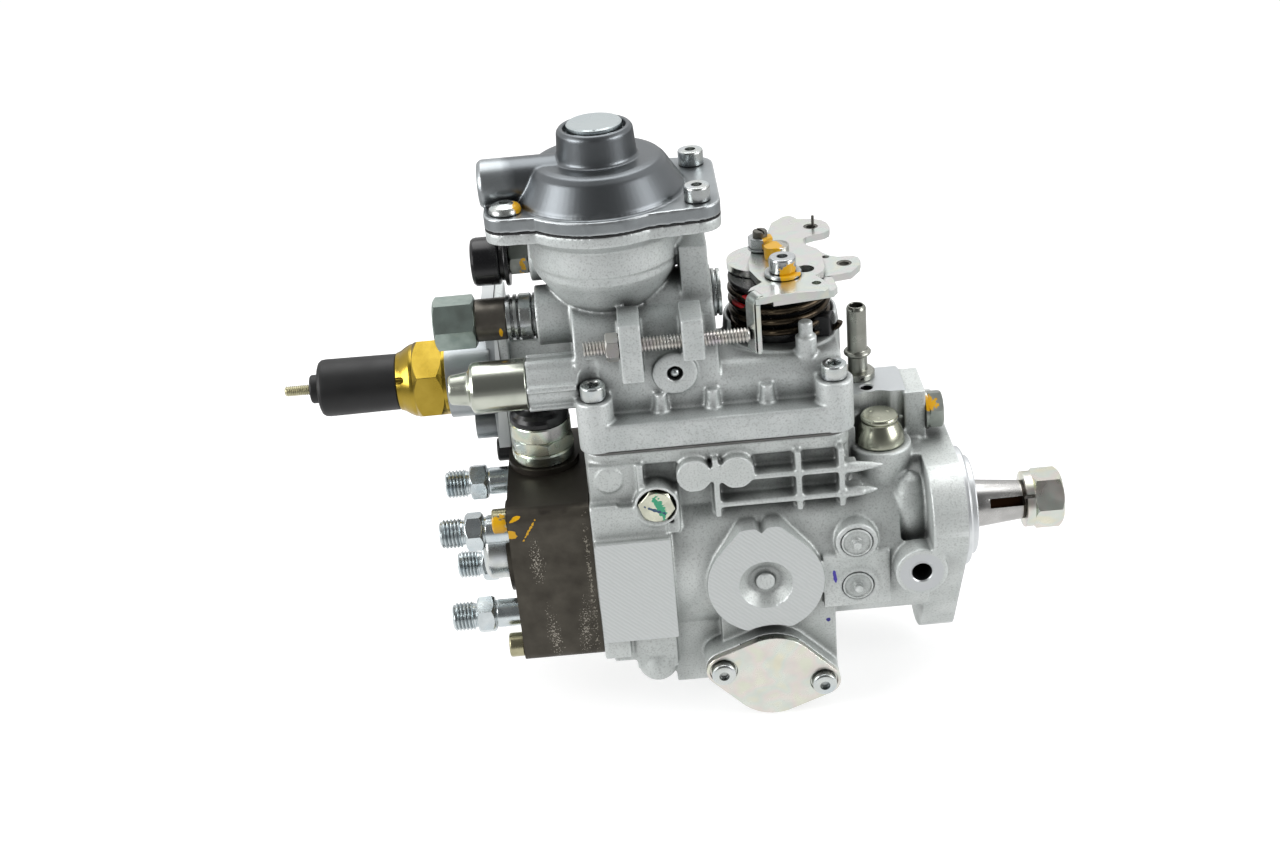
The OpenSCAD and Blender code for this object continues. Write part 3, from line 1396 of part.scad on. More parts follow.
// Lever that the sleeve tilts, with the ball that moves the control collar
module governor_lever() {
    t = lever_plate_t / 2;
    color("#7d8083") difference() {
        union() {
            block([lever_x - t, lever_x + t], [-cheek_y[1], cheek_y[1]], [18, 60]);
            block([lever_x - t, lever_x + t], [-7, 7], [59, lever_top_z]);
            for (s = [0, 1])
                mirror([0, s, 0])
                    block([lever_x - 5, lever_x + 5], cheek_y, [lever_z - 5, lever_z + 5]);
            z_rod(4, ball_z, 19, lever_x, 0);
            translate([lever_x, 0, ball_z]) sphere(d = ball_d, $fn = 32);
        }
        for (s = [0, 1])
            mirror([0, s, 0]) y_rod(fulcrum_tip_d + 2 * fit, 9.2, 13, lever_x, lever_z);
        x_rod(5, lever_x - 5, lever_x + 5, 0, lever_top_z - 6);
    }
}

module control_collar() {
    x0 = lever_x - collar_w / 2;
    x1 = lever_x + collar_w / 2;
    groove = collar_groove_w / 2;
    color("#95989b") difference() {
        x_rod(2 * collar_r, x0, x1);
        x_rod(plunger_d + 2 * fit, x0 - 1, x1 + 1);
        difference() {
            x_rod(2 * collar_r + 2, lever_x - groove, lever_x + groove);
            x_rod(2 * (ball_z - ball_d / 2 - gap), lever_x - groove - 1, lever_x + groove + 1);
        }
    }
}

module throttle_shaft() {
    color("#a9a9a4") {
        z_rod(throttle_d, 71, lever_z0 + 2 * lever_t + 5, throttle_x, throttle_y);
        // crank whose pin holds the governor spring in the middle plane
        block([throttle_x - 4, throttle_x + 4], [0, throttle_y + 4], [68.5, 71.5]);
        z_rod(4, 65.5, 69, throttle_x, 2.5);
    }
}

// Two lever plates on the throttle shaft, with the tab that meets the stop screw
module throttle_lever() {
    top = lever_z0 + 2 * lever_t;
    color("#d3d2c6") difference() {
        union() {
            translate([0, 0, lever_z0]) linear_extrude(lever_t + 0.01) arm_plate();
            translate([0, 0, lever_z0 + lever_t]) linear_extrude(lever_t) tab_plate();
            translate([tab_x, -22, 0]) rotate([0, 0, -tab_turn])
                block([0, lever_t], [-6.4, 0], [tower_top_z + 6.5, top - 0.5]);
        }
        z_rod(throttle_d + 2 * tap_play, lever_z0 - 1, top + 1, throttle_x, throttle_y);
        for (p = [[-47.4, 45.8], [-39.1, 4.8]])
            z_rod(lever_hole_d, lever_z0 - 1, top + 1, p[0], p[1]);
        z_rod(7, lever_z0 + lever_t, top + 1, -55.4, -4.4);
        z_rod(3.6, lever_z0 - 1, top + 1, -52.8, -18.7);
        z_rod(2.6, lever_z0 - 1, top + 1, -74.6, -13.2);
        z_rod(3, lever_z0 - 1, top + 1, -45.5, 12.6);
    }
}
tab_turn = -6;

// The plate with the two cable arms and the round lobe behind
module arm_plate() {
    polygon([
        [-76, 4], [-70, -23.8], [-46.5, -20.3], [-44.6, -17], [-45.5, -7.4], [-49, -7],
        [-37.6, -4.6], [-33.4, 1.8], [-32.4, 5.8], [-33, 9.6], [-34.9, 11.2], [-41, 11.8],
        [-43.8, 13.8], [-46.4, 17.8], [-47.9, 22.2], [-50.6, 25.4], [-52.3, 29], [-52.2, 32.6],
        [-50.6, 35], [-47, 36.5], [-42.9, 37.6], [-40.5, 40], [-39.8, 43.2], [-40.4, 48],
        [-42, 51.4], [-45.6, 54], [-51.9, 55.3], [-53.3, 58.2], [-54.7, 59.8], [-57.5, 59.4],
        [-63, 53.3], [-68.4, 33.8]
    ]);
    translate([-71, 17.5]) circle(r = 13.7);
}

// The plate with the stop tab in front
module tab_plate() {
    polygon([
        [-76.9, -1.2], [-76.6, 6.4], [-74.6, 17], [-73.2, 20.8], [-70.8, 22.4], [-57.6, 18],
        [-51.8, 16.4], [-48.6, 13], [-47.4, 8.8], [-47.8, -4], [-48.9, -8.2], [-52.4, -11.6],
        [-49.9, -16.4], [-48.7, -21.4], [-49, -25], [-51.2, -26.8], [-68.6, -26.2],
        [-73.6, -27.8], [-79.4, -28.2], [-79.5, -22], [-78, -18], [-75.2, -15.6], [-73.2, -13.4],
        [-74.2, -11]
    ]);
}

// Cap screw, hexagon screw and set screw on the lever plates
module lever_screws() {
    z0 = lever_z0 + 2 * lever_t + 0.1;
    color("#b9bcbc") {
        z_rod(14.4, z0, z0 + 1.6, -64.5, -8);
        translate([-64.5, -8, z0 + 1.55]) cap_screw(0, head_d = 10.4);
        z_rod(10.4, z0, z0 + 1, -70.5, 19.6);
        z_hex(9, z0 + 0.95, z0 + 5.4, -70.5, 19.6, 10);
    }
}

module timing_piston() {
    y_mid = timing_drop * tan(timing_rest);
    color("#a7a9aa") difference() {
        y_rod(timing_piston_d, y_mid - piston_l / 2, y_mid + piston_l / 2, timing_x, -timing_drop);
        block([timing_x - 3.1, timing_x + 3.1], [y_mid - 4.5, y_mid + 4.5],
            [-timing_drop - 6, 0]);
        // seat of the return spring
        y_rod(timing_piston_d - 7, y_mid + 9, y_mid + piston_l, timing_x, -timing_drop);
    }
}

// Ring with four rollers on radial pins and the pin to the timing piston
module roller_ring() {
    color("#8e9194") rotate([timing_rest, 0, 0]) {
        difference() {
            x_rod(2 * (chamber_r - fit), ring_x0, ring_x1);
            x_rod(40, ring_x0 - 1, ring_x1 + 1);
            for (a = [45 : 90 : 315])
                rotate([a, 0, 0])
                    block([ring_x0 - 1, ring_x0 + roller_d / 2 + 1.4], [-4.4, 4.4], [20.5, 31.5]);
        }
        for (a = [45 : 90 : 315])
            rotate([a, 0, 0]) {
                z_rod(roller_d, 21, 31, ring_x0, 0);
                z_rod(3, 18, 33.5, ring_x0 + 1.3, 0);
            }
        z_rod(6, -timing_drop - 3, -chamber_r + 4, timing_x, 0);
    }
}

pump_housing();
drive_bush();
shaft_seal();
feed_ring();
fulcrum_screws();
pressed_plugs();
timing_covers();
timing_cover_screws();
distributor_head();
head_screws();
head_barrel();
central_plug();
valve_holders();
governor_cover();
cover_gasket();
cover_screws();
regulating_cap();
return_nipple();
block_bolt();
solenoid_body();
solenoid_boot();
cold_start_body();
cold_start_nut();
heater_capsule();
heater_stud();
tamper_cap();
load_screw_cap();
load_screw_nuts();
compensator_cover();
compensator_screws();
compensator_disc();
compensator_diaphragm();
vent_cap();
vent_fitting();
ring_plug();
stop_screw();
governor_pin();
return_spring();
spring_drum();
drive_shaft();
drive_nut();
drive_gear();
vane_rotor();
cam_plate();
plunger();
flyweight_cage();
governor_sleeve();
governor_lever();
control_collar();
throttle_shaft();
throttle_lever();
lever_screws();
timing_piston();
roller_ring();
compensator_stem();
solenoid_armature();
delivery_valve(0);  // delivery_valve_1
delivery_valve(1);  // delivery_valve_2
delivery_valve(2);  // delivery_valve_3
delivery_valve(3);  // delivery_valve_4
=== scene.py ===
"""Looks of a distributor injection pump: cast alloy, plated steel, brass and black plastic.

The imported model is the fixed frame. Each sub-assembly is a class that builds its pieces in the
model's own place, dresses them and hands them to the body that carries them. Sizes are in
millimetres; the scene is in metres.
"""

import sys
import logging
import math
from collections.abc import Callable, Iterator, Sequence
from contextlib import contextmanager
from dataclasses import dataclass, field
from enum import Enum

import bpy
import numpy as np
from mathutils import Matrix, Vector


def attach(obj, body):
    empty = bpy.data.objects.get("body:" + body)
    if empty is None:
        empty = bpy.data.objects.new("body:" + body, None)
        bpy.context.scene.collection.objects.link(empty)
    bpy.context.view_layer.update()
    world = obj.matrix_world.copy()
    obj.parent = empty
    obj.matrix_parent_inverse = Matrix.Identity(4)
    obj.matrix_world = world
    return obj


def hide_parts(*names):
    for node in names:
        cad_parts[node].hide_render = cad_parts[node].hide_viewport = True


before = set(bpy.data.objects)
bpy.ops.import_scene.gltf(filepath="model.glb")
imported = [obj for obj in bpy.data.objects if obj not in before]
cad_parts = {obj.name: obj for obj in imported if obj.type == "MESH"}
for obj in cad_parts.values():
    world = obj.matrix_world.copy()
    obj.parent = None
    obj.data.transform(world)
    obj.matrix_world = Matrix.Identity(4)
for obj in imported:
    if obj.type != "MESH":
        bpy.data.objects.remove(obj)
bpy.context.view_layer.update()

MM = 0.001
LOG = logging.getLogger("pump")

Piece = bpy.types.Object
Socket = bpy.types.NodeSocket
Point = tuple[float, float, float]
Profile = Sequence[tuple[float, float]]


class Way(Enum):
    """Directions in which a turned piece can point."""

    RIGHT = (1, 0, 0)
    LEFT = (-1, 0, 0)
    BACK = (0, 1, 0)
    FRONT = (0, -1, 0)
    UP = (0, 0, 1)


class Recess(Enum):
    """Drives cut into screw heads."""

    HEXAGON = "hexagon"
    STAR = "star"


SIDES = ((-1, Way.FRONT), (1, Way.BACK))
SHANK_R = 3.0  # all screws are M6
PLANAR = math.radians(1.5)  # facets within this angle are one face
STRAIGHT = math.radians(166)  # corners of a profile that are flatter than this stay sharp
MERGE = 1e-6  # vertices this close, in metres, are one
WAVE_PERIOD = 0.314  # one stripe of the wave texture at scale 1

# ---- Materials ----


def linear(code: str) -> tuple[float, float, float, float]:
    """Turns an sRGB hex colour to the linear one that a shader takes."""
    channels = [int(code[i : i + 2], 16) / 255 for i in (1, 3, 5)]
    return (*[c / 12.92 if c <= 0.04045 else ((c + 0.055) / 1.055) ** 2.4 for c in channels], 1.0)


class Graph:
    """Nodes of one material or world, with its coordinates."""

    def __init__(self, owner: bpy.types.Material | bpy.types.World, space: str) -> None:
        """Clears the tree of its owner and takes coordinates of the named space."""
        owner.use_nodes = True
        self.tree = owner.node_tree
        self.tree.nodes.clear()
        self.coords = self.add("TexCoord", out=space)

    def add(self, kind: str, inputs: dict | None = None, out: int | str = 0, **settings) -> Socket | None:
        """Adds a node with its settings and links.

        Args:
            kind: Type name of the node, without its first word.
            inputs: Value or output socket for each input, by name or index.
            out: Output that is handed back, by name or index.
            **settings: Properties of the node.

        Returns:
            The chosen output; nothing for a last node.
        """
        node = self.tree.nodes.new(f"ShaderNode{kind}")
        for key, value in settings.items():
            setattr(node, key, value)
        for key, value in (inputs or {}).items():
            if isinstance(value, Socket):
                self.tree.links.new(value, node.inputs[key])
            else:
                node.inputs[key].default_value = value
        return node.outputs[out] if len(node.outputs) else None

    def math(self, how: str, *values: float | Socket) -> Socket:
        """Adds a sum of the named kind."""
        return self.add("Math", dict(enumerate(values)), operation=how)

    def ranged(self, *limits: float | Socket, **settings) -> Socket:
        """Maps a value: the value, the range it comes from, and the range it goes to."""
        return self.add("MapRange", dict(enumerate(limits)), **settings)

    def between(self, share: Socket, low: float | Socket, high: float | Socket) -> Socket:
        """Mixes two values by a share."""
        return self.add("Mix", {0: share, 2: low, 3: high})

    def mixed(self, share: float | Socket, *colours: str | Socket) -> Socket:
        """Mixes two colours, each a hex code or a socket, by a share."""
        first, second = [linear(c) if isinstance(c, str) else c for c in colours]
        return self.add("Mix", {0: share, 6: first, 7: second}, 2, data_type="RGBA")

    def noise(self, size: float, detail: float) -> Socket:
        """Adds a noise with cells of a size in mm."""
        return self.add("TexNoise", {"Vector": self.coords, "Scale": 1 / (size * MM), "Detail": detail})


@dataclass(frozen=True)
class Lines:
    """Fine parallel tool marks across one direction, spaced in mm, leaning by degrees about Y."""

    along: str = "X"
    spacing: float = 0.5
    depth: float = 0.01
    wander: float = 1.5
    lean: float = 0.0

    def height(self, graph: Graph) -> Socket:
        """Adds the nodes that say how high the marks stand, in mm."""
        coords = graph.coords
        if self.lean:
            coords = graph.add("Mapping", {"Vector": coords, "Rotation": (0, math.radians(self.lean), 0)})
        wave = graph.add(
            "TexWave",
            {"Vector": coords, "Scale": WAVE_PERIOD / (self.spacing * MM), "Distortion": self.wander,
             "Detail": 2.0, "Detail Scale": 1.5},
            1, bands_direction=self.along,
        )
        return graph.math("MULTIPLY", wave, self.depth)


@dataclass(frozen=True)
class Patch:
    """A part of a surface with its own finish, inside a box or an ellipsoid given in mm.

    A round patch has a ragged edge, as brushed paint has; a square one has a crisp edge, as a
    milled face has.
    """

    colour: str
    centre: Point
    half: Point
    roughness: float = 0.35
    turn: Point = (0, 0, 0)
    paint: bool = True
    round: bool = True
    ragged: float = 0.5
    grain: float = 2.5
    thin: float = 0.0
    marks: Lines | None = None

    def mask(self, graph: Graph) -> Socket:
        """Adds the nodes that are 1 inside the patch.

        Args:
            graph: Nodes of the material.

        Returns:
            Socket of the mask.
        """
        place = {
            "Vector": graph.coords,
            "Location": [c * MM for c in self.centre],
            "Rotation": [math.radians(a) for a in self.turn],
            "Scale": [h * MM for h in self.half],
        }
        local = graph.add("Mapping", place, vector_type="TEXTURE")
        if not self.round:
            size = graph.add("VectorMath", {0: local}, operation="ABSOLUTE")
            x, y, z = graph.add("SeparateXYZ", {0: size}).node.outputs
            most = graph.math("MAXIMUM", graph.math("MAXIMUM", x, y), z)
            return graph.math("LESS_THAN", most, 1.0)
        away = graph.add("VectorMath", {0: local}, "Value", operation="LENGTH")
        edge = graph.noise(self.grain, 2.0)
        shift = graph.ranged(edge, 0.3, 0.7, self.thin - self.ragged, self.thin + self.ragged)
        return graph.ranged(graph.math("ADD", away, shift), 1.0, 0.9, 0.0, 1.0)


@dataclass(frozen=True)
class Seam:
    """The raised line that the two halves of a die leave: a wandering plane across X, in mm."""

    at: float
    centre: Point
    half: Point
    wander: float = 2.0
    width: float = 0.35
    height: float = 0.25

    def raised(self, graph: Graph, height: Socket) -> Socket:
        """Adds the ridge of the seam to a height in mm.

        Args:
            graph: Nodes of the material.
            height: Height so far.

        Returns:
            Socket of the height with the ridge.
        """
        place = graph.add("SeparateXYZ", {0: graph.coords})
        bent = graph.math("MULTIPLY_ADD", graph.noise(11, 1.0), 2 * self.wander * MM, place)
        near = graph.math("COMPARE", bent, (self.at + self.wander) * MM, self.width * MM)
        zone = Patch("#000000", self.centre, self.half, round=False).mask(graph)
        return graph.math("MULTIPLY_ADD", graph.math("MULTIPLY", near, zone), self.height, height)


@dataclass(frozen=True)
class Finish:
    """What a real surface is made of, and how it was made.

    A large mottle moves the colour between two shades, a fine grain gives speckle and bump, and
    lines are the marks of a lathe, mill or draw bench.
    """

    name: str
    colour: str
    shade: str
    metallic: float = 1.0
    roughness: float = 0.4
    spread: float = 0.08
    mottle: float = 14.0
    grain: float = 0.5
    grain_depth: float = 0.02
    speck: float = 0.0
    tint: tuple[str, ...] = ()
    tint_share: float = 0.25
    lines: Lines | None = None
    patches: tuple[Patch, ...] = ()
    # painted shade: how much darker the colour gets in recesses that ambient occlusion finds
    painted_recess_shade: float = 0.0
    reach: float = 8.0
    # how much sharp edges brighten: partly wear, partly a painted highlight
    worn_edge_highlight: float = 0.0
    seams: tuple[Seam, ...] = ()

    def material(self) -> bpy.types.Material:
        """Builds the material once and hands out the same one after that."""
        known = bpy.data.materials.get(self.name)
        if known is not None:
            return known
        made = bpy.data.materials.new(self.name)
        graph = Graph(made, "Object")
        big, fine = graph.noise(self.mottle, 4.0), graph.noise(self.grain, 3.0)
        colour = graph.mixed(graph.ranged(big, 0.32, 0.68, 0.0, 1.0), self.colour, self.shade)
        if self.speck:
            colour = graph.mixed(graph.ranged(fine, 0.5, 0.72, 0.0, self.speck), colour, "#2E2E2E")
        if self.tint:
            colour = self._tinted(graph, colour)
        # painted shade in recesses, and brightened edges
        if self.painted_recess_shade:
            colour = self._painted_shade_and_bright_edges(graph, colour)
        rough = graph.ranged(big, 0.3, 0.7, self.roughness - self.spread, self.roughness + self.spread)
        metal: float | Socket = self.metallic
        height = graph.math("MULTIPLY", fine, self.grain_depth)
        for patch in self.patches:
            here = patch.mask(graph)
            colour = graph.mixed(here, colour, patch.colour)
            rough = graph.between(here, rough, patch.roughness)
            if patch.paint:
                metal = graph.between(here, metal, 0.0)
            if patch.marks:
                scored = patch.marks.height(graph)
                height = graph.between(here, height, scored)
                dull = graph.ranged(scored, 0.0, patch.marks.depth, 0.0, 0.55)
                colour = graph.mixed(graph.math("MULTIPLY", dull, here), colour, self.shade)
        if self.lines:
            height = graph.math("ADD", height, self.lines.height(graph))
        for seam in self.seams:
            height = seam.raised(graph, height)
        bump = graph.add("Bump", {"Height": height, "Distance": MM, "Strength": 1.0})
        surface = {"Base Color": colour, "Metallic": metal, "Roughness": rough, "Normal": bump}
        graph.add("OutputMaterial", {0: graph.add("BsdfPrincipled", surface)})
        return made

    def _painted_shade_and_bright_edges(self, graph: Graph, colour: Socket) -> Socket:
        """Paints shade into recesses that ambient occlusion finds closed in, and brightens sharp edges, partly as wear
        and partly as a painted highlight.

        Args:
            graph: Nodes of the material.
            colour: Colour of the open surface.

        Returns:
            Socket of the aged colour.
        """
        # Painted shade: the colour darkens where ambient occlusion finds the surface closed in.
        open_sky = graph.add("AmbientOcclusion", {"Distance": self.reach * MM}, "AO", samples=6)
        dark = graph.mixed(graph.ranged(open_sky, 0.3, 0.95, self.painted_recess_shade, 0.0), colour, "#3C3D3C")
        # Sharp edges brighten by pointiness: partly wear, partly a painted highlight.
        crest = graph.add("NewGeometry", out="Pointiness")
        return graph.mixed(graph.ranged(crest, 0.51, 0.6, 0.0, self.worn_edge_highlight), dark, "#E9ECEC")

    def _tinted(self, graph: Graph, colour: Socket) -> Socket:
        """Lays the rainbow film of a passivated plating over the colour.

        Args:
            graph: Nodes of the material.
            colour: Colour under the film.

        Returns:
            Socket of the tinted colour.
        """
        ramp = graph.add("ValToRGB", {0: graph.noise(9, 1.0)})
        stops = ramp.node.color_ramp.elements
        while len(stops) < len(self.tint):
            stops.new(0.5)
        for i, code in enumerate(self.tint):
            stops[i].position = 0.3 + 0.4 * i / max(1, len(self.tint) - 1)
            stops[i].color = linear(code)
        return graph.mixed(self.tint_share, colour, ramp)


YELLOW = "#D9A40A"

# Short strokes of the face mill, on the slant.
CUT = Lines("X", 1.5, 0.06, 2.5, lean=48)

# Die-cast aluminium, shot blasted: soft grey with a fine even grain and no mirror.
HOUSING_CAST = Finish(
    "housing_die_cast_aluminium", "#D5D9D7", "#C5CAC8", 0.62, 0.52, 0.06, 16, 0.75, 0.12, 0.28,
    painted_recess_shade=0.85, reach=9, worn_edge_highlight=0.75,
    patches=(
        Patch("#CDD0D1", (0, 0, 0), (0.3, 80, 80), 0.42, paint=False, round=False),
        Patch("#D0D3D3", (-132.4, -41.5, -2.2), (15.4, 0.45, 23.4), 0.5, paint=False, round=False, marks=CUT),
        Patch("#D0D3D3", (-80.3, -42.5, -3), (25, 0.5, 27), 0.5, paint=False, round=False, marks=CUT),
        Patch("#C4C8CA", (-30, 5, 60), (13, 11.2, 0.25), 0.36, paint=False, round=False),
        Patch("#C9CCCE", (-18.4, -48, -0.5), (9.2, 1.5, 9.2), 0.5, paint=False, ragged=0.02),
        Patch("#C9CCCE", (-18.4, 48, -0.5), (9.2, 1.5, 9.2), 0.5, paint=False, ragged=0.02),
        Patch("#4A3FA8", (-52.4, -39.5, -3.6), (1.0, 3, 3.8), 0.45, turn=(0, -8, 0), ragged=0.15),
        Patch("#35308C", (-55.2, -39, -27.4), (1.3, 6, 1.3), 0.45, ragged=0.15),
    ),
)
COVER_CAST = Finish(
    "cover_die_cast_aluminium", "#D5D9D8", "#C5CAC9", 0.64, 0.5, 0.06, 16, 0.75, 0.11, 0.28,
    painted_recess_shade=0.85, reach=8, worn_edge_highlight=0.75,
    seams=(Seam(-142, (-142, -20, 124), (9, 28, 21), width=0.45, height=0.7),),
)

# The same alloy from a polished die: darker, smoother, with a broad sheen.
SMOOTH_CAST = Finish(
    "smooth_die_cast_aluminium", "#A9AEB0", "#989DA0", 0.95, 0.36, 0.04, 16, 0.5, 0.02, 0.1,
    painted_recess_shade=0.6, worn_edge_highlight=0.7,
    # Painted shade: a darker colour round the cone and neck stands for their dark reflection.
    patches=(Patch("#6E7275", (-132, 10, 167), (37, 37, 60), 0.34, paint=False, ragged=0.04, grain=9),),
)

# Bright zinc on steel: cold blue-white and fairly sharp reflections.
ZINC = Finish(
    "bright_zinc_steel", "#D3D7D8", "#C3C8C9", 1.0, 0.27, 0.07, 6, 0.4, 0.006, painted_recess_shade=0.9, reach=2.5,
    tint=("#C9D6DA", "#DDDFD2", "#D0D3DB"), tint_share=0.3,
)

# The same plating on a ground disc: even, with no spangle.
DISC_ZINC = Finish("zinc_neck_disc", "#CBD3D4", "#C1CACC", 1.0, 0.27, 0.02, 18, 0.4, 0.001)

# Zinc with a clear chromate film: pale yellow with faint pink and green.
PASSIVATED = Finish(
    "passivated_zinc_steel", "#DEDDD0", "#CFCFC4", 1.0, 0.3, 0.06, 7, 0.5, 0.006,
    tint=("#DFE3CF", "#E6D7D8", "#D3E0DC", "#E7E2C6"), tint_share=0.45,
)
DULL_ZINC = Finish("dull_zinc_steel", "#A9B5AE", "#93A19B", 1.0, 0.36, 0.07, 5, 0.4, 0.01)

# Phosphated steel: dark grey, dry.
PHOSPHATE = Finish("phosphated_steel", "#77756F", "#65635E", 0.9, 0.45, 0.06, 5, 0.35, 0.02)
NICKEL = Finish(
    "deep_drawn_nickelled_steel", "#CFD2C6", "#C0C4B8", 1.0, 0.23, 0.04, 12, 0.5, 0.004,
    lines=Lines("X", 0.5, 0.004, 0.6),
)
PIPE_STEEL = Finish(
    "drawn_steel_pipe", "#A3A49C", "#8F9088", 1.0, 0.3, 0.05, 8, 0.4, 0.006, lines=Lines("Z", 0.7, 0.004)
)
GROUND = Finish("ground_steel", "#C4C3C1", "#B4B3B1", 1.0, 0.27, 0.05, 6, 0.3, 0.005, lines=Lines("X", 0.5, 0.004))
HARDENED = Finish("hardened_steel", "#A3A5A7", "#8F9294", 1.0, 0.36, 0.06, 6, 0.4, 0.01)
BRONZE = Finish("turned_bronze", "#B8935A", "#A5824E", 1.0, 0.3, 0.05, 6, 0.3, 0.006, lines=Lines("X", 0.4, 0.004))

# Brass, turned and washed: warm yellow with lathe lines and a few darker stains.
BRASS = Finish(
    "turned_brass", "#B0973F", "#A08732", 1.0, 0.25, 0.03, 9, 0.3, 0.004,
    lines=Lines("X", 0.45, 0.006, 0.4),
)
STUD = Finish(
    "yellow_zinc_stud", "#E4E0C4", "#D2CEB2", 1.0, 0.36, 0.05, 4, 0.3, 0.004, painted_recess_shade=0.5, reach=0.6
)

# Glass-filled nylon, moulded: black with a soft sheen.
NYLON = Finish("moulded_black_nylon", "#070809", "#060607", 0.0, 0.5, 0.05, 10, 0.5, 0.012)
GLOSSY_BLACK = Finish("moulded_black_cap", "#141416", "#101012", 0.0, 0.26, 0.05, 8, 0.5, 0.006)
RUBBER = Finish("moulded_rubber", "#1B1B1C", "#232324", 0.0, 0.55, 0.06, 8, 0.4, 0.02)

# Oiled spring wire: black-brown, with the shine of drawn wire.
SPRING_WIRE = Finish(
    "oiled_spring_wire", "#4A4033", "#2C251D", 0.9, 0.24, 0.06, 5, 0.4, 0.008,
    patches=(
        Patch("#B3141B", (-83.5, 0, 101.5), (5, 6, 0.9), 0.3, ragged=0.12),
        Patch("#B3141B", (-77.5, -6, 106), (4, 5, 0.9), 0.3, ragged=0.12),
    ),
)
GASKET = Finish("gasket_paper", "#6A6A68", "#5C5C5A", 0.0, 0.7, 0.05, 6, 0.4, 0.03)

# Bare turned aluminium: bright, with fine rings from the tool.
TURNED_ALLOY = Finish(
    "turned_aluminium", "#E4E7E8", "#D9DCDE", 0.9, 0.4, 0.03, 8, 0.4, 0.004, lines=Lines("X", 0.6, 0.006, 0.4)
)

# The wall of a drilled hole: metal that sees little light.
BORED = Finish(
    "drilled_alloy_bore", "#C9CCCD", "#BFC2C4", 0.8, 0.4, 0.05, 8, 0.4, 0.01,
    patches=(
        # Near-black boxes: painted shade deep in the bracket bore and the bolt bore.
        Patch("#17181A", (-18.4, 0, -0.5), (5.2, 47.4, 5.2), 0.5, round=False),
        Patch("#17181A", (-32.3, -1, 50), (3.2, 3.2, 9.6), 0.5, round=False),
    ),
)
BLOCK_BOLT = Finish(
    "zinc_block_bolt", "#BEC3BC", "#A9AEA8", 1.0, 0.32, 0.06, 5, 0.4, 0.008,
    patches=(Patch(YELLOW, (-8.2, -9.5, 54), (5, 5.4, 3.2), 0.35, ragged=0.3),),
)
FULCRUM = Finish(
    "zinc_fulcrum_screws", "#D8D9C6", "#C6C7B6", 1.0, 0.3, 0.06, 5, 0.4, 0.006,
    patches=(
        Patch("#3FA27C", (-119.8, -38.3, 34), (1.6, 2, 6.5), 0.4, turn=(0, -20, 0), ragged=0.5, grain=1.6),
        Patch("#34506E", (-121.5, -38.3, 33), (4.6, 2, 0.6), 0.4, turn=(0, 24, 0), ragged=0.6, grain=1.2),
    ),
)
VALVE_CAP = Finish("drawn_passivated_cap", "#BDBFAE", "#A9AB9B", 1.0, 0.25, 0.02, 14, 0.5, 0.003)
STOP_STEEL = Finish(
    "stop_screw_steel", "#EDEAE8", "#DEDAD8", 1.0, 0.3, 0.04, 5, 0.3, 0.003, painted_recess_shade=0.6, reach=0.5,
    tint=("#D6CEDA", "#DDDACE", "#CFD6D2"), tint_share=0.35,
)
SHELL_SCREW = Finish(
    "zinc_shell_screws", "#D3D7D8", "#C3C8C9", 1.0, 0.27, 0.06, 6, 0.4, 0.006, painted_recess_shade=0.9, reach=2.5,
    tint=("#C9D6DA", "#DDDFD2", "#D0D3DB"), tint_share=0.3,
    patches=(Patch(YELLOW, (-162.6, -6.4, 153.4), (3, 4.5, 4), 0.35, ragged=0.25),),
)
VENT_STEEL = Finish(
    "phosphated_vent_screw", "#8E918C", "#7B7E79", 0.95, 0.36, 0.06, 5, 0.4, 0.01,
    patches=(Patch(YELLOW, (-165.4, 8, 120), (2.4, 5, 5.4), 0.35, ragged=0.4),),
)
LOAD_SLEEVE = Finish(
    "phosphated_sleeve", "#6A665F", "#5B5751", 0.9, 0.42, 0.06, 5, 0.35, 0.02,
    patches=(Patch(YELLOW, (-176.5, -0.5, 98), (0.7, 3, 2.4), 0.35, ragged=0.3),),
)

# Sheet steel, passivated: bright, with faint rainbow patches and fine rolling marks.
LEVER_ZINC = Finish(
    "passivated_lever_plates", "#E4E6DF", "#D8DAD3", 1.0, 0.26, 0.02, 14, 2.5, 0.002, painted_recess_shade=0.85, reach=1.6,
    tint=("#DFE6D8", "#E2DADF", "#D4E2DF", "#E6E6D4"), tint_share=0.5,
    # Near-black disc: painted shade on the lower plate at the bottom of the large hole.
    patches=(Patch("#161616", (-55.4, -4.4, 113), (3.45, 3.45, 0.6), 0.5, ragged=0.02),),
)
LEVER_SCREW = Finish(
    "zinc_lever_screws", "#D0D3D4", "#BCC0C1", 1.0, 0.27, 0.06, 5, 0.4, 0.006, painted_recess_shade=0.9, reach=2.5,
    patches=(
        Patch(YELLOW, (-61.5, -14.5, 118.6), (5.4, 5, 3.4), 0.35, ragged=0.35),
        Patch(YELLOW, (-67, 16.4, 120), (3.4, 4, 4.4), 0.35, ragged=0.3),
    ),
)
SPINDLE = Finish(
    "serrated_spindle", "#BEBEB8", "#A8A8A2", 1.0, 0.3, 0.06, 4, 0.3, 0.006,
    patches=(Patch(YELLOW, (-67, 8, 120), (4.2, 7, 5), 0.35, ragged=0.3),),
)
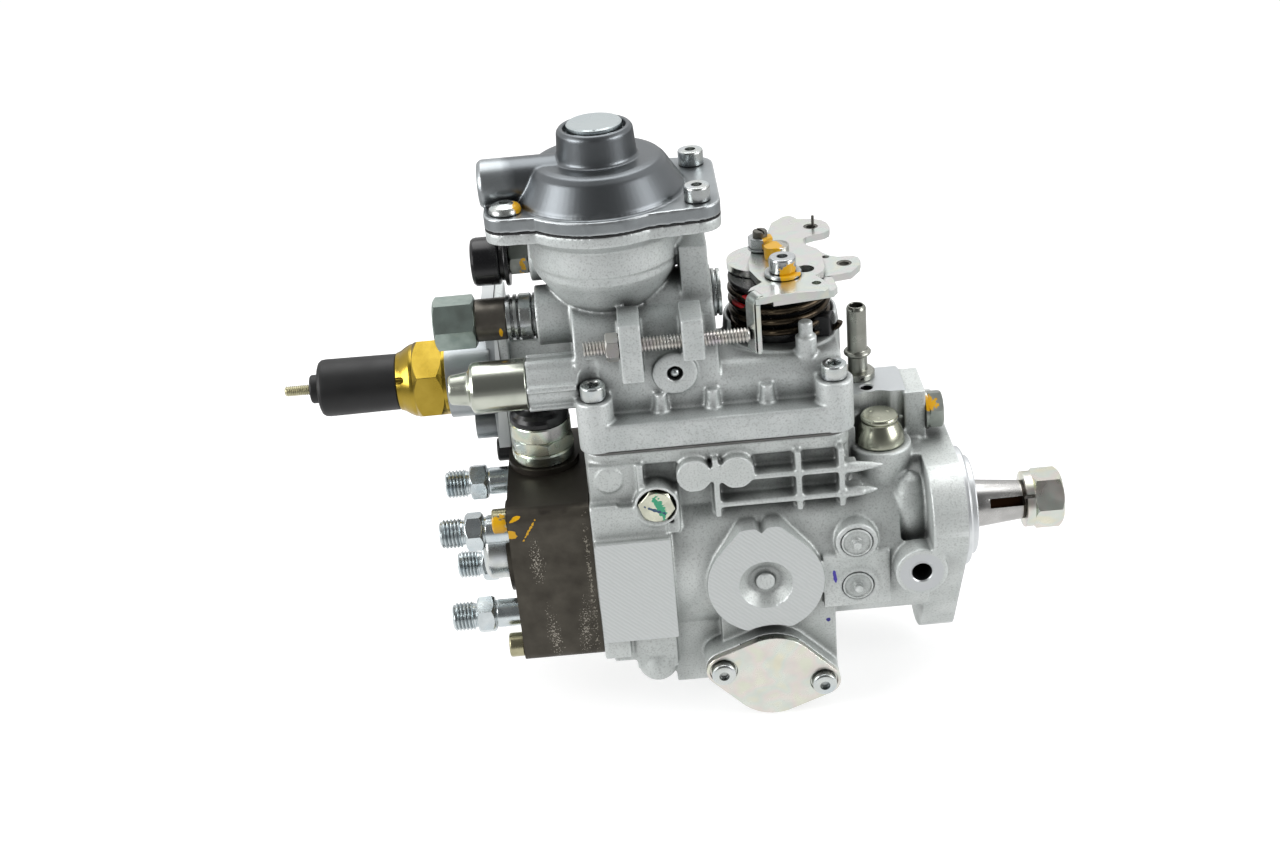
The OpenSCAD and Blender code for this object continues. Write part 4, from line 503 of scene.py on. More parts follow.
HEAD_BLOCK = Finish(
    "black_oxide_head", "#524E46", "#433F38", 0.7, 0.5, 0.1, 9, 0.35, 0.02,
    lines=Lines("Z", 0.6, 0.02, 2.5),
    patches=(
        Patch("#35312B", (-166, 0, 40), (30, 40, 13), 0.5, paint=False, ragged=0.1, grain=9),
        Patch(YELLOW, (-180.4, -35, 26.5), (3.6, 4, 1.8), 0.35, turn=(0, -25, 0), ragged=0.4),
        Patch(YELLOW, (-177.6, -36, 33.4), (3.4, 3, 0.9), 0.35, turn=(0, -30, 0), ragged=0.3),
        Patch("#A8A296", (-167.5, -36, -24), (2.4, 1.5, 13), 0.6, turn=(0, -4, 0), ragged=1.7, grain=0.55, thin=1.3),
        Patch("#A8A296", (-154.5, -36, -22), (2.6, 1.5, 15), 0.6, turn=(0, 6, 0), ragged=1.7, grain=0.55, thin=1.3),
        Patch("#A8A296", (-171, -36, 13), (2.4, 1.5, 8), 0.6, ragged=1.7, grain=0.55, thin=1.2),
        Patch("#8F897C", (-150.5, -36, 0), (0.8, 1.5, 30), 0.6, ragged=1.7, grain=0.7, thin=0.8),
        Patch(YELLOW, (-172.8, -36, 27.6), (5.0, 2, 0.4), 0.35, turn=(0, -58, 0), ragged=0.9, grain=1.2),
    ),
)
HEAD_SCREW = Finish(
    "passivated_head_screws", "#B9B494", "#A29D80", 1.0, 0.3, 0.06, 5, 0.4, 0.008,
    patches=(
        Patch(YELLOW, (-184.5, -33.5, 29.5), (3.4, 4, 5.4), 0.35, ragged=0.3),
        Patch("#191919", (-184.5, 30, 30), (8, 8, 8), 0.4, round=False),
    ),
)
OUTLET = Finish(
    "bright_zinc_outlets", "#DBE2E4", "#CBD3D6", 1.0, 0.27, 0.05, 5, 0.4, 0.004, painted_recess_shade=0.5, reach=1.0,
    tint=("#BFD0D8", "#DCE2E2", "#C7D2D6"), tint_share=0.35,
)
SOLENOID = Finish(
    "passivated_solenoid", "#CBCFC2", "#B3B8AE", 1.0, 0.24, 0.06, 6, 0.4, 0.005,
    tint=("#D9CFD6", "#C8D8C8", "#DAD8C2", "#B9C6C6"), tint_share=0.6,
)
TAPER = Finish(
    "ground_taper", "#C4C3C1", "#B4B3B1", 1.0, 0.27, 0.05, 6, 0.3, 0.005, lines=Lines("X", 0.5, 0.006),
    patches=(
        Patch("#2B1B12", (24.25, -6.29, 3.07), (7.2, 1.3, 2.05), 0.5, turn=(-26, 0, 0), paint=False, round=False),
        Patch("#4A4641", (31.6, 0, 0), (0.5, 12, 12), 0.4, paint=False, round=False),
    ),
)


# ---- Bench: how pieces are made ----


def activate(*pieces: Piece) -> None:
    """Selects only these pieces, if any, the first one active."""
    for other in bpy.context.selected_objects:
        other.select_set(False)
    for piece in pieces:
        piece.select_set(True)
    if pieces:
        bpy.context.view_layer.objects.active = pieces[0]


@contextmanager
def editing(select: str = "SELECT") -> Iterator[None]:
    """Opens the active object in edit mode, selects as told, if at all, and closes it again."""
    bpy.ops.object.mode_set(mode="EDIT")
    if select:
        bpy.ops.mesh.select_all(action=select)
    yield
    bpy.ops.object.mode_set(mode="OBJECT")


def named(name: str) -> Piece:
    """Names the object that an operator has just added."""
    piece = bpy.context.object
    piece.name = name
    piece.data.name = name
    return piece


def fixed(piece: Piece) -> Piece:
    """Writes the place, turn and scale of a piece into its mesh."""
    activate(piece)
    bpy.ops.object.transform_apply(location=True, rotation=True, scale=True)
    return piece


def twin(piece: Piece) -> Piece:
    """Copies a piece with its mesh."""
    other = piece.copy()
    other.data = piece.data.copy()
    bpy.context.scene.collection.objects.link(other)
    return other


def modified(piece: Piece, kind: str, **settings) -> Piece:
    """Adds a modifier with its settings and applies it.

    Args:
        piece: Object that takes the modifier.
        kind: Type name of the modifier.
        **settings: Its properties.

    Returns:
        The same object.
    """
    activate(piece)
    bpy.ops.object.modifier_add(type=kind)
    made = piece.modifiers[-1]
    for key, value in settings.items():
        setattr(made, key, value)
    bpy.ops.object.modifier_apply(modifier=made.name)
    return piece


def settle(piece: Piece, origin: Point = (0, 0, 0), way: Way = Way.UP, spin: float = 0) -> Piece:
    """Turns a piece that was made upright at the origin, and puts it in its place.

    Args:
        piece: Object to place.
        origin: Where its origin goes, in mm.
        way: Where its upper end points.
        spin: Turn about its own axis, in degrees.

    Returns:
        The same object, with its place in its mesh.
    """
    lean = Vector((0, 0, 1)).rotation_difference(Vector(way.value)).to_matrix().to_4x4()
    turn = Matrix.Rotation(math.radians(spin), 4, "Z")
    piece.matrix_world = Matrix.Translation(Vector(origin) * MM) @ lean @ turn
    return fixed(piece)


def joined(name: str, pieces: Sequence[Piece]) -> Piece:
    """Joins pieces into one object of this name."""
    activate(*pieces)
    if len(pieces) > 1:
        bpy.ops.object.join()
    return named(name)


def cut(piece: Piece, tool: Piece, how: str = "DIFFERENCE") -> Piece:
    """Cuts a piece with a tool, or combines them as told, and throws the tool away."""
    modified(piece, "BOOLEAN", operation=how, object=tool, solver="EXACT")
    bpy.data.objects.remove(tool)
    return piece


def rounded(piece: Piece, width: float, segments: int = 2, angle: float = 28) -> Piece:
    """Breaks the sharp edges of a piece.

    Args:
        piece: Object to treat.
        width: Width of the broken edge in mm.
        segments: Steps across it.
        angle: Least angle of an edge that is broken, in degrees.

    Returns:
        The same object.
    """
    return modified(
        piece, "BEVEL", width=width * MM, segments=segments, limit_method="ANGLE",
        angle_limit=math.radians(angle), use_clamp_overlap=True, miter_outer="MITER_ARC",
    )


def smooth(piece: Piece, angle: float = 26) -> Piece:
    """Shades a piece smooth, with edges above an angle kept sharp and flat faces kept flat."""
    activate(piece)
    bpy.ops.object.shade_smooth_by_angle(angle=math.radians(angle))
    return modified(piece, "WEIGHTED_NORMAL", mode="FACE_AREA", weight=50, keep_sharp=True)


def eased(profile: Profile, radius: float, ring: bool) -> list[tuple[float, float]]:
    """Rounds the corners of a profile.

    Args:
        profile: Radius and height of each corner in mm.
        radius: Radius of the rounded corners.
        ring: True if the profile is a closed outline.

    Returns:
        The profile with a small arc in place of each corner.
    """
    points = [Vector(point) for point in profile]
    out: list[tuple[float, float]] = []
    for i, corner in enumerate(points):
        before, after = points[i - 1] - corner, points[(i + 1) % len(points)] - corner
        edge = not ring and i in (0, len(points) - 1)
        if edge or min(before.length, after.length) < MERGE or before.angle(after) > STRAIGHT:
            out.append(tuple(corner))
            continue
        reach = min(radius / math.tan(before.angle(after) / 2), 0.45 * before.length, 0.45 * after.length)
        start, end = corner + before.normalized() * reach, corner + after.normalized() * reach
        for s in (0.0, 1 / 3, 2 / 3, 1.0):
            out.append(tuple(start * (1 - s) ** 2 + corner * (2 * s * (1 - s)) + end * s**2))
    return out


def traced(name: str, path: Sequence[Point]) -> Piece:
    """Draws a line of vertices through points given in mm."""
    activate()
    bpy.ops.mesh.primitive_plane_add(size=MM)
    line = named(name)
    with editing():
        bpy.ops.mesh.select_mode(type="VERT")
        bpy.ops.mesh.merge(type="CENTER")
        bpy.ops.transform.translate(value=[c * MM for c in path[0]])
        for here, there in zip(path, path[1:]):
            step = [(b - a) * MM for a, b in zip(here, there)]
            bpy.ops.mesh.extrude_region_move(TRANSFORM_OT_translate={"value": step})
    return line


def turned(name: str, profile: Profile, steps: int = 64, ring: bool = False, ease: float = 0.3) -> Piece:
    """Turns a profile round the upright axis, as on a lathe.

    Args:
        name: Name of the piece.
        profile: Radius and height of each corner in mm, from one end to the other.
        steps: Facets of the turn.
        ring: True if the profile is a closed outline that stays off the axis.
        ease: Radius of its rounded corners in mm.

    Returns:
        The turned solid.
    """
    shape = eased(profile, ease, ring) if ease else list(profile)
    piece = traced(name, [(r, 0, h) for r, h in shape + ([shape[0]] if ring else [])])
    with editing():
        bpy.ops.mesh.spin(steps=steps, angle=math.tau, center=(0, 0, 0), axis=(0, 0, 1))
        bpy.ops.mesh.select_all(action="SELECT")
        bpy.ops.mesh.remove_doubles(threshold=MERGE)
        bpy.ops.mesh.normals_make_consistent(inside=False)
    return piece


def prism(name: str, across: float, low: float, high: float, sides: int = 6) -> Piece:
    """Makes an upright prism with regular sides.

    Args:
        name: Name of the piece.
        across: Width across two flats in mm.
        low: Height of its lower face.
        high: Height of its upper face.
        sides: Number of flats.

    Returns:
        The prism.
    """
    activate()
    bpy.ops.mesh.primitive_cylinder_add(
        vertices=sides, radius=across / 2 / math.cos(math.pi / sides) * MM, depth=(high - low) * MM,
        location=(0, 0, (low + high) / 2 * MM),
    )
    return fixed(named(name))


def slab(name: str, low: Point, high: Point) -> Piece:
    """Makes a box between two corners given in mm."""
    activate()
    bpy.ops.mesh.primitive_cube_add(size=MM)
    box = named(name)
    box.scale = [b - a for a, b in zip(low, high)]
    box.location = [(a + b) / 2 * MM for a, b in zip(low, high)]
    return fixed(box)


def hexagon(name: str, across: float, low: float, high: float, crown: float = 0.07) -> Piece:
    """Makes a hexagon whose corners are turned down at both ends.

    Args:
        name: Name of the piece.
        across: Width across flats in mm.
        low: Height of its lower face.
        high: Height of its upper face.
        crown: Height of the turned rim, as a share of the width.

    Returns:
        The hexagon.
    """
    past = 0.4  # the lathe tool runs this far past both faces
    rim = crown * across
    inner, outer = across / 2 * 0.97, across / 2 / math.cos(math.pi / 6) + 0.1
    neck = inner - (outer - inner) * past / rim
    block = prism(name, across, low, high)
    lathe = turned("lathe", [
        (0, low - past), (neck, low - past), (outer, low + rim), (outer, high - rim), (neck, high + past),
        (0, high + past),
    ], 96, ease=0)
    return rounded(cut(block, lathe, "INTERSECT"), 0.15, 2, 40)


def fluted(piece: Piece, step: float, share: float) -> Piece:
    """Draws every second corner of a prism towards its axis.

    Args:
        piece: Prism at the origin, just made.
        step: Angle between its corners in degrees.
        share: How far out those corners stay.

    Returns:
        The same object.
    """
    for vertex in piece.data.vertices:
        vertex.select = round(math.degrees(math.atan2(vertex.co.y, vertex.co.x)) / step) % 2 == 0
    activate(piece)
    with editing(""):
        bpy.ops.mesh.select_mode(type="VERT")
        bpy.ops.transform.resize(value=(share, share, 1), center_override=(0, 0, 0))
    return piece


def screw(name: str, shank_l: float, head: float, head_h: float, recess: Recess, key: float = 5,
          dome: float = 0.0) -> Piece:
    """Makes a screw whose head stands on height 0.

    Args:
        name: Name of the screw.
        shank_l: Length of the shank in mm.
        head: Diameter of the head.
        head_h: Height of the head.
        recess: Drive in the head.
        key: Size of the drive.
        dome: Height of a domed head above its rim.

    Returns:
        The screw.
    """
    r = head / 2
    side = [(r - 0.3, 0), (r, 0.3)]
    if dome:
        side += [(r * math.cos(a) ** 0.7, head_h - dome + dome * math.sin(a)) for a in (0, 0.35, 0.7, 1.05, 1.35)]
    else:
        side += [(r, head_h - 0.8), (r - 0.12, head_h - 0.35), (r - 0.5, head_h)]
    tip = [(0, -shank_l), (SHANK_R - 0.6, -shank_l), (SHANK_R, 0.6 - shank_l), (SHANK_R, 0)]
    body = turned(name, [*tip, *side, (0, head_h)])
    if recess is Recess.HEXAGON:
        cut(body, prism("key", key, head_h - 3.2, head_h + 2))
        top = head_h + 0.3
        return cut(body, turned("cone", [(0, head_h - 1.2), (key / 2, head_h - 0.6), (key / 2 + 0.9, top), (0, top)]))
    star = prism("key", key * math.cos(math.pi / 12), head_h - 1.9, head_h + 2, 12)
    return cut(body, rounded(fluted(star, 30, 0.66), key * 0.07, 2, 20))


def thread(name: str, major: float, pitch: float, length: float, tip: float = 0.8) -> Piece:
    """Makes the helical ridge of a thread, upright from height 0, its free end at the top.

    Args:
        name: Name of the piece.
        major: Outer diameter in mm.
        pitch: Rise of each turn.
        length: Length of the threaded part.
        tip: Length over which the ridge runs out at the free end.

    Returns:
        The ridge; a core of the root diameter goes inside it.
    """
    crest, root = major / 2, major / 2 - 0.6 * pitch
    flanks = ((root, 0), (crest, 0.42), (crest, 0.56), (root, 0.98), (root, 1))
    ridge = modified(
        traced(name, [(r, 0, h * pitch) for r, h in flanks]), "SCREW", axis="Z", angle=math.tau,
        screw_offset=pitch * MM, iterations=math.ceil(length / pitch) + 1, steps=28, render_steps=28,
        use_merge_vertices=True, merge_threshold=MERGE, use_normal_calculate=True,
    )
    points = np.empty(len(ridge.data.vertices) * 3)
    ridge.data.vertices.foreach_get("co", points)
    points = points.reshape(-1, 3) / MM
    points[:, 2] = (points[:, 2] - pitch * 0.9).clip(0, length)
    radius = np.hypot(points[:, 0], points[:, 1])
    room = root - 0.1 + np.clip((length - points[:, 2]) / tip, 0, 1) * (crest - root + 0.1)
    points[:, :2] *= (np.minimum(radius, room) / radius)[:, None]
    ridge.data.vertices.foreach_set("co", (points * MM).ravel())
    ridge.data.update()
    return ridge


def copied(name: str, node: str) -> Piece:
    """Copies a CAD node to a free object whose vertices are merged."""
    copy = twin(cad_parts[node])
    copy.parent = None
    for key in list(copy.keys()):
        del copy[key]
    piece = joined(name, [copy])
    with editing():
        bpy.ops.mesh.remove_doubles(threshold=2 * MERGE)
    piece.data.materials.clear()
    return piece


def softened(name: str, width: float, node: str, segments: int = 2) -> Piece:
    """Copies a CAD node and breaks its edges, as tumbling and plating do.

    Args:
        name: Name of the piece.
        width: Width of the broken edges in mm.
        node: Name of the CAD node.
        segments: Steps across an edge.

    Returns:
        The softened copy.
    """
    piece = copied(name, node)
    with editing():
        bpy.ops.mesh.dissolve_limited(angle_limit=PLANAR)
    return smooth(rounded(piece, width, segments, 30))


@dataclass(frozen=True)
class Milled:
    """A flat face that is cut after casting: its axis, which way it looks, its place and its reach."""

    axis: int
    sign: int
    at: float
    low: Point
    high: Point

    def along(self, size: float) -> list[float]:
        """Gives a vector of this size along the axis of the face."""
        return [size if axis == self.axis else 0.0 for axis in range(3)]

    def marks(self, mesh: bpy.types.Mesh, slack: float) -> None:
        """Selects the faces of a mesh that lie in reach of the cut.

        Args:
            mesh: Mesh of an object in object mode.
            slack: How far from the plane a face still counts, in mm; negative takes all beyond it.
        """
        count = len(mesh.polygons)
        centres, normals = np.empty(count * 3), np.empty(count * 3)
        mesh.polygons.foreach_get("center", centres)
        mesh.polygons.foreach_get("normal", normals)
        centres, normals = centres.reshape(-1, 3) / MM, normals.reshape(-1, 3)
        inside = ((centres > np.array(self.low)) & (centres < np.array(self.high))).all(axis=1)
        away = (centres[:, self.axis] - self.at) * self.sign
        if slack >= 0:
            inside &= (np.abs(away) < slack) & (normals[:, self.axis] * self.sign > 0.99)
        else:
            inside &= away > slack
        mesh.polygons.foreach_set("select", inside)
        mesh.vertices.foreach_set("select", np.zeros(len(mesh.vertices), bool))
        mesh.edges.foreach_set("select", np.zeros(len(mesh.edges), bool))


def cast_skin(name: str, node: str, grain: float, passes: int, faces: int, forms: Callable[[], list[Piece]] = list,
              milled: Sequence[Milled] = ()) -> Piece:
    """Copies a casting, gives every edge the radius of a die, and mills its flat faces after that.

    Args:
        name: Name of the piece.
        node: CAD node of the casting.
        grain: Size of the cells in mm.
        passes: Rounds of smoothing, which set the fillets.
        faces: Triangles that the piece may keep.
        forms: Makes the solids that are cast with it.
        milled: Faces that are cut flat, with crisp edges.

    Returns:
        The casting.
    """
    stock, behind = 1.3, -2.5  # mm of metal left for the mill; how far behind the plane it is parted
    extras = forms()
    piece = copied(name, node)
    for face in milled:
        face.marks(piece.data, 0.05)
        with editing(""):
            bpy.ops.mesh.select_mode(type="FACE")
            push = face.along(face.sign * stock * MM)
            bpy.ops.mesh.extrude_region_move(TRANSFORM_OT_translate={"value": push})
    piece = joined(name, [piece, *extras])
    modified(piece, "REMESH", mode="VOXEL", voxel_size=grain * MM, use_smooth_shade=True)
    modified(piece, "SMOOTH", factor=0.5, iterations=passes)
    for face in milled:
        place, look = face.along(face.at * MM), face.along(float(face.sign))
        face.marks(piece.data, behind)
        with editing(""):
            bpy.ops.mesh.select_mode(type="FACE")
            bpy.ops.mesh.bisect(plane_co=place, plane_no=look, use_fill=True, clear_outer=True)
    modified(piece, "TRIANGULATE")
    now = len(piece.data.polygons)
    if now > faces:
        modified(piece, "DECIMATE", ratio=faces / now)
    return smooth(piece, 42)


def adopt(piece: Piece, body: str, finish: Finish, *nodes: str) -> None:
    """Dresses a piece, gives it to its body, and lets it stand for CAD nodes.

    Args:
        piece: Finished object.
        body: CAD body that carries it.
        finish: Its finish.
        *nodes: CAD nodes that it stands for.
    """
    piece.data.materials.clear()
    piece.data.materials.append(finish.material())
    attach(piece, body)
    if nodes:
        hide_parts(*nodes)
    LOG.info("%s on %s: %d faces", piece.name, body, len(piece.data.polygons))


def dress(finish: Finish, *nodes: str) -> None:
    """Gives CAD nodes their finish and leaves their shape."""
    for node in nodes:
        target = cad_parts[node]
        target.data.materials.clear()
        target.data.materials.append(finish.material())
        activate(target)
        bpy.ops.object.shade_smooth_by_angle(angle=math.radians(32))
        LOG.info("%s dressed in %s", node, finish.name)


def cast(name: str, node: str, finish: Finish, *how: float | Callable | tuple[Milled, ...]) -> None:
    """Args:
        name: Name of the skin.
        node: CAD node of the casting.
        finish: Its finish.
        *how: Grain, passes, faces, forms and milled faces of the skin.
    """
    adopt(cast_skin(name, node, *how), "pump", finish, node)


# ---- Sub-assemblies ----


@dataclass
class Housing:
    """Cast pump housing with its plugs, screws, valve cap, nipple and timing covers."""

    timing: Point = (-79.5, 45.1, -46)
    screw_pitch: float = 42
    tilt: float = -12.5
    nipple: Point = (-34.2, 10, 60)
    nipple_h: float = 32
    cap: Point = (-29.4, -15, 43.1)
    milled: tuple[Milled, ...] = (
        Milled(1, -1, -41.5, (-148.5, -60, -27), (-115.5, 0, 22.5)),
        Milled(1, -1, -42.5, (-106, -60, -31), (-55, 0, 26)),
        Milled(2, 1, 60, (-44, -12, 55), (-9, 22, 68)),
        Milled(0, 1, 0, (-4, -62, -70), (20, 62, 75)),
    )

    def build(self) -> None:
        """Makes every piece of the housing."""
        cast("housing_casting", "pump_housing", HOUSING_CAST, 0.6, 6, 180000, self._cast_forms, self.milled)
        adopt(smooth(self._pilot()), "pump", TURNED_ALLOY)
        self._screws()
        self._valve_cap()
        self._nipple()
        self._plugs()
        self._bores()
        adopt(softened("timing_plates", 0.55, "timing_covers", 3), "pump", PASSIVATED, "timing_covers")
        adopt(softened("block_screw", 0.35, "block_bolt"), "pump", BLOCK_BOLT, "block_bolt")
        dress(BRONZE, "drive_bush")
        dress(RUBBER, "shaft_seal")
        dress(HARDENED, "feed_ring")

    def _cast_forms(self) -> list[Piece]:
        """Makes the soft transitions that melt into the casting."""
        forms = []
        for side, _ in SIDES:
            near, far = sorted((side * 24, side * 37.4))
            forms.append(slab("infill", (-147.4, near, 19), (-118, far, 35)))
            swell = [(0, -1), (6, -0.5), (9.4, 2.5), (10.2, 9), (9.8, 17), (7.6, 23), (4.5, 27), (0, 29)]
            forms.append(settle(turned("fillet", swell, 32), (-19.6, side * 25.6, 4.5)))
            for height, tail in ((42.6, 11), (31.6, 9)):
                taper = turned("rib_end", [(0, -4), (2.4, -4), (2.3, 0), (1.5, tail * 0.6), (0.5, tail), (0, tail)], 24)
                forms.append(settle(taper, (-42, side * 33.9, height), Way.RIGHT))
            forms.append(settle(prism("web", 11, 0, 13, 4), (-139, side * 28, -41), Way.UP, 45))
        return forms

    def _plugs(self) -> None:
        """Makes the pressed plugs of the side pad, each with its cast nub."""
        profile = [
            (0, -3.5), (6.2, -3.5), (6.2, 0.5), (6.0, 0.8), (5.4, 0.8), (5.2, 0.3), (2.4, 0.3), (2.0, 0.6),
            (1.7, 1.5), (0, 1.6),
        ]
        plugs = []
        for side, way in SIDES:
            for height in (12, -8.4):
                one = joined("side_plug", [turned("plug", profile), hexagon("nub", 3.0, 0, 3.2)])
                plugs.append(settle(one, (-43.2, side * 41.1, height), way, 15 * height))
        adopt(smooth(joined("side_plugs", plugs)), "pump", HOUSING_CAST, "pressed_plugs")

    def _bores(self) -> None:
        """Makes the spot faces and clean bores of the bracket bosses and of the drive end block."""
        profile = [(4.0, -22), (4.2, -22), (4.4, -0.4), (5.2, -0.3), (5.3, 0), (4.5, 0.05), (4.0, -0.4)]
        rings = [
            settle(turned("spot_face", profile, 64, ring=True, ease=0.1), (-18.4, side * 48.05, -0.5), way)
            for side, way in SIDES
        ]
        profile = [(2.45, -12), (2.6, -12), (2.8, -0.2), (4.4, -0.1), (4.5, 0.05), (3.0, 0.08), (2.45, -0.4)]
        rings.append(settle(turned("bolt_bore", profile, 48, ring=True, ease=0.05), (-32.3, -1, 60.02)))
        adopt(smooth(joined("machined_bores", rings)), "pump", BORED)

    def _pilot(self) -> Piece:
        """Turns the pilot with its step and the seat of the seal."""
        profile = [(17.5, -1), (25, -1), (25, 6.2), (24.2, 7), (20.8, 7), (20.8, 9.5), (20.3, 10), (17.5, 10)]
        return settle(turned("pilot", profile, 128, ring=True), way=Way.RIGHT)

    def _screws(self) -> None:
        """Makes the fulcrum screws and the screws of the timing covers."""
        heads, small = [], []
        stem = [(0, -16), (2.5, -16), (2.5, -8), (5, -7.2), (5, 0.05), (0, 0.05)]
        for side, way in SIDES:
            one = joined("fulcrum", [hexagon("fulcrum", 13, 0, 5.2, 0.06), turned("stem", stem)])
            heads.append(settle(one, (-121.3, side * 33.1, 34.5), way, 18))
        adopt(smooth(joined("lever_fulcrums", heads)), "pump", FULCRUM, "fulcrum_screws")
        x, y, z = self.timing
        lean = math.radians(self.tilt)
        for side, way in SIDES:
            for end in (-1, 1):
                reach = end * self.screw_pitch / 2
                one = screw("cover_star_screw", 12, 10, 4.6, Recess.STAR, 6.6, dome=1.2)
                place = (x + reach * math.cos(lean), side * y, z + reach * math.sin(lean))
                small.append(settle(one, place, way, 20 * end))
        adopt(smooth(joined("timing_star_screws", small)), "pump", ZINC, "timing_cover_screws")

    def _valve_cap(self) -> None:
        """Makes the drawn cap of the pressure regulating valve, with three dimples."""
        profile = [
            (0, -11.4), (7.45, -11.4), (7.45, -0.1), (9.6, -0.1), (9.95, 0.3), (9.95, 1.4), (9.6, 3.4), (8.8, 5.8),
            (7.7, 7.8), (7.1, 8.8), (6.95, 9.3), (7.2, 9.7), (7.55, 10.2), (7.55, 10.9), (7.3, 11.6), (6.7, 12),
            (0, 12),
        ]
        shell = turned("drawn_valve_cap", profile, 80)
        for turn in (20, 140, 260):
            a = math.radians(turn)
            dot = turned("dimple", [(0, 11.7), (0.7, 11.8), (0.8, 13), (0, 13)], 16)
            cut(shell, settle(dot, (3.8 * math.cos(a), 3.8 * math.sin(a), 0)))
        adopt(smooth(settle(shell, self.cap)), "pump", VALVE_CAP, "regulating_cap")

    def _nipple(self) -> None:
        """Makes the return nipple with its rolled bead."""
        h = self.nipple_h
        profile = [
            (2.7, -8.4), (5, -8.4), (5, -0.1), (6.2, -0.1), (6.9, 0.3), (6.9, 2.4), (6.4, 3), (4, 3.2), (4, 9.6),
            (4.3, 10.1), (5.2, 10.35), (5.55, 10.8), (5.55, 11.4), (5.2, 11.9), (4.3, 12.2), (4, 12.6),
            (4, h - 1.6), (3.8, h - 0.9), (3.3, h - 0.2), (3.0, h), (2.7, h - 0.3),
        ]
        pipe = turned("return_pipe_piece", profile, 64, ring=True)
        adopt(smooth(settle(pipe, self.nipple)), "pump", PIPE_STEEL, "return_nipple")


@dataclass
class Cover:
    """Governor cover casting, its gasket, screws and stop screw."""

    screw_x: tuple[float, float] = (-142, -48)
    screw_y: tuple[float, float] = (-24.5, 24.5)
    boss_top: float = 78.35
    ball: Point = (-109.5, -20.4, 84.5)
    ball_r: float = 2.0
    stop: Point = (-144, -25, 99.7)
    stop_tip: float = -79.8
    nut_x: float = -135.3

    def build(self) -> None:
        """Makes every piece of the cover."""
        cast("cover_casting", "governor_cover", COVER_CAST, 0.6, 4, 190000, self._cast_forms)
        dress(GASKET, "cover_gasket")
        caps = [
            settle(screw("cap", 36, 10, 6, Recess.HEXAGON), (x, y, self.boss_top), spin=x + y)
            for x in self.screw_x for y in self.screw_y
        ]
        adopt(smooth(joined("cover_cap_screws", caps)), "pump", ZINC, "cover_screws")
        half_turn = [(self.ball_r * math.sin(a), -self.ball_r * math.cos(a)) for a in np.linspace(0, math.pi, 17)]
        adopt(smooth(settle(turned("bore_ball", half_turn, 32), self.ball)), "pump", ZINC)
        self._stop_screw()

    def _cast_forms(self) -> list[Piece]:
        """Makes the feet of the small buttresses, which melt into the casting."""
        foot = [(0, -2), (3.9, -2), (3.2, 0.6), (2.75, 3.4), (2.45, 8), (0, 8.4)]
        return [settle(turned("buttress", foot, 24), (x, -21.1, 68.3)) for x in (-116, -95.5, -74)]

    def _stop_screw(self) -> None:
        """Makes the threaded stop screw with its lock nut."""
        length = self.stop_tip - self.stop[0]
        ridge = thread("ridge", 6, 1.3, length, 0.7)
        core = turned("core", [(0, 0), (1.9, 0), (2.25, 0.4), (2.25, length - 0.5), (1.9, length), (0, length)], 32)
        rod = settle(joined("stop_rod", [core, ridge]), self.stop, Way.RIGHT)
        nut = cut(hexagon("lock_nut", 10, 0, 5.2), turned("hole", [(0, -1), (2.9, -1), (2.9, 7), (0, 7)], 32))
        settle(nut, (self.nut_x, *self.stop[1:]), Way.RIGHT, 20)
        adopt(smooth(joined("idle_stop_screw", [rod, nut])), "pump", STOP_STEEL, "stop_screw")


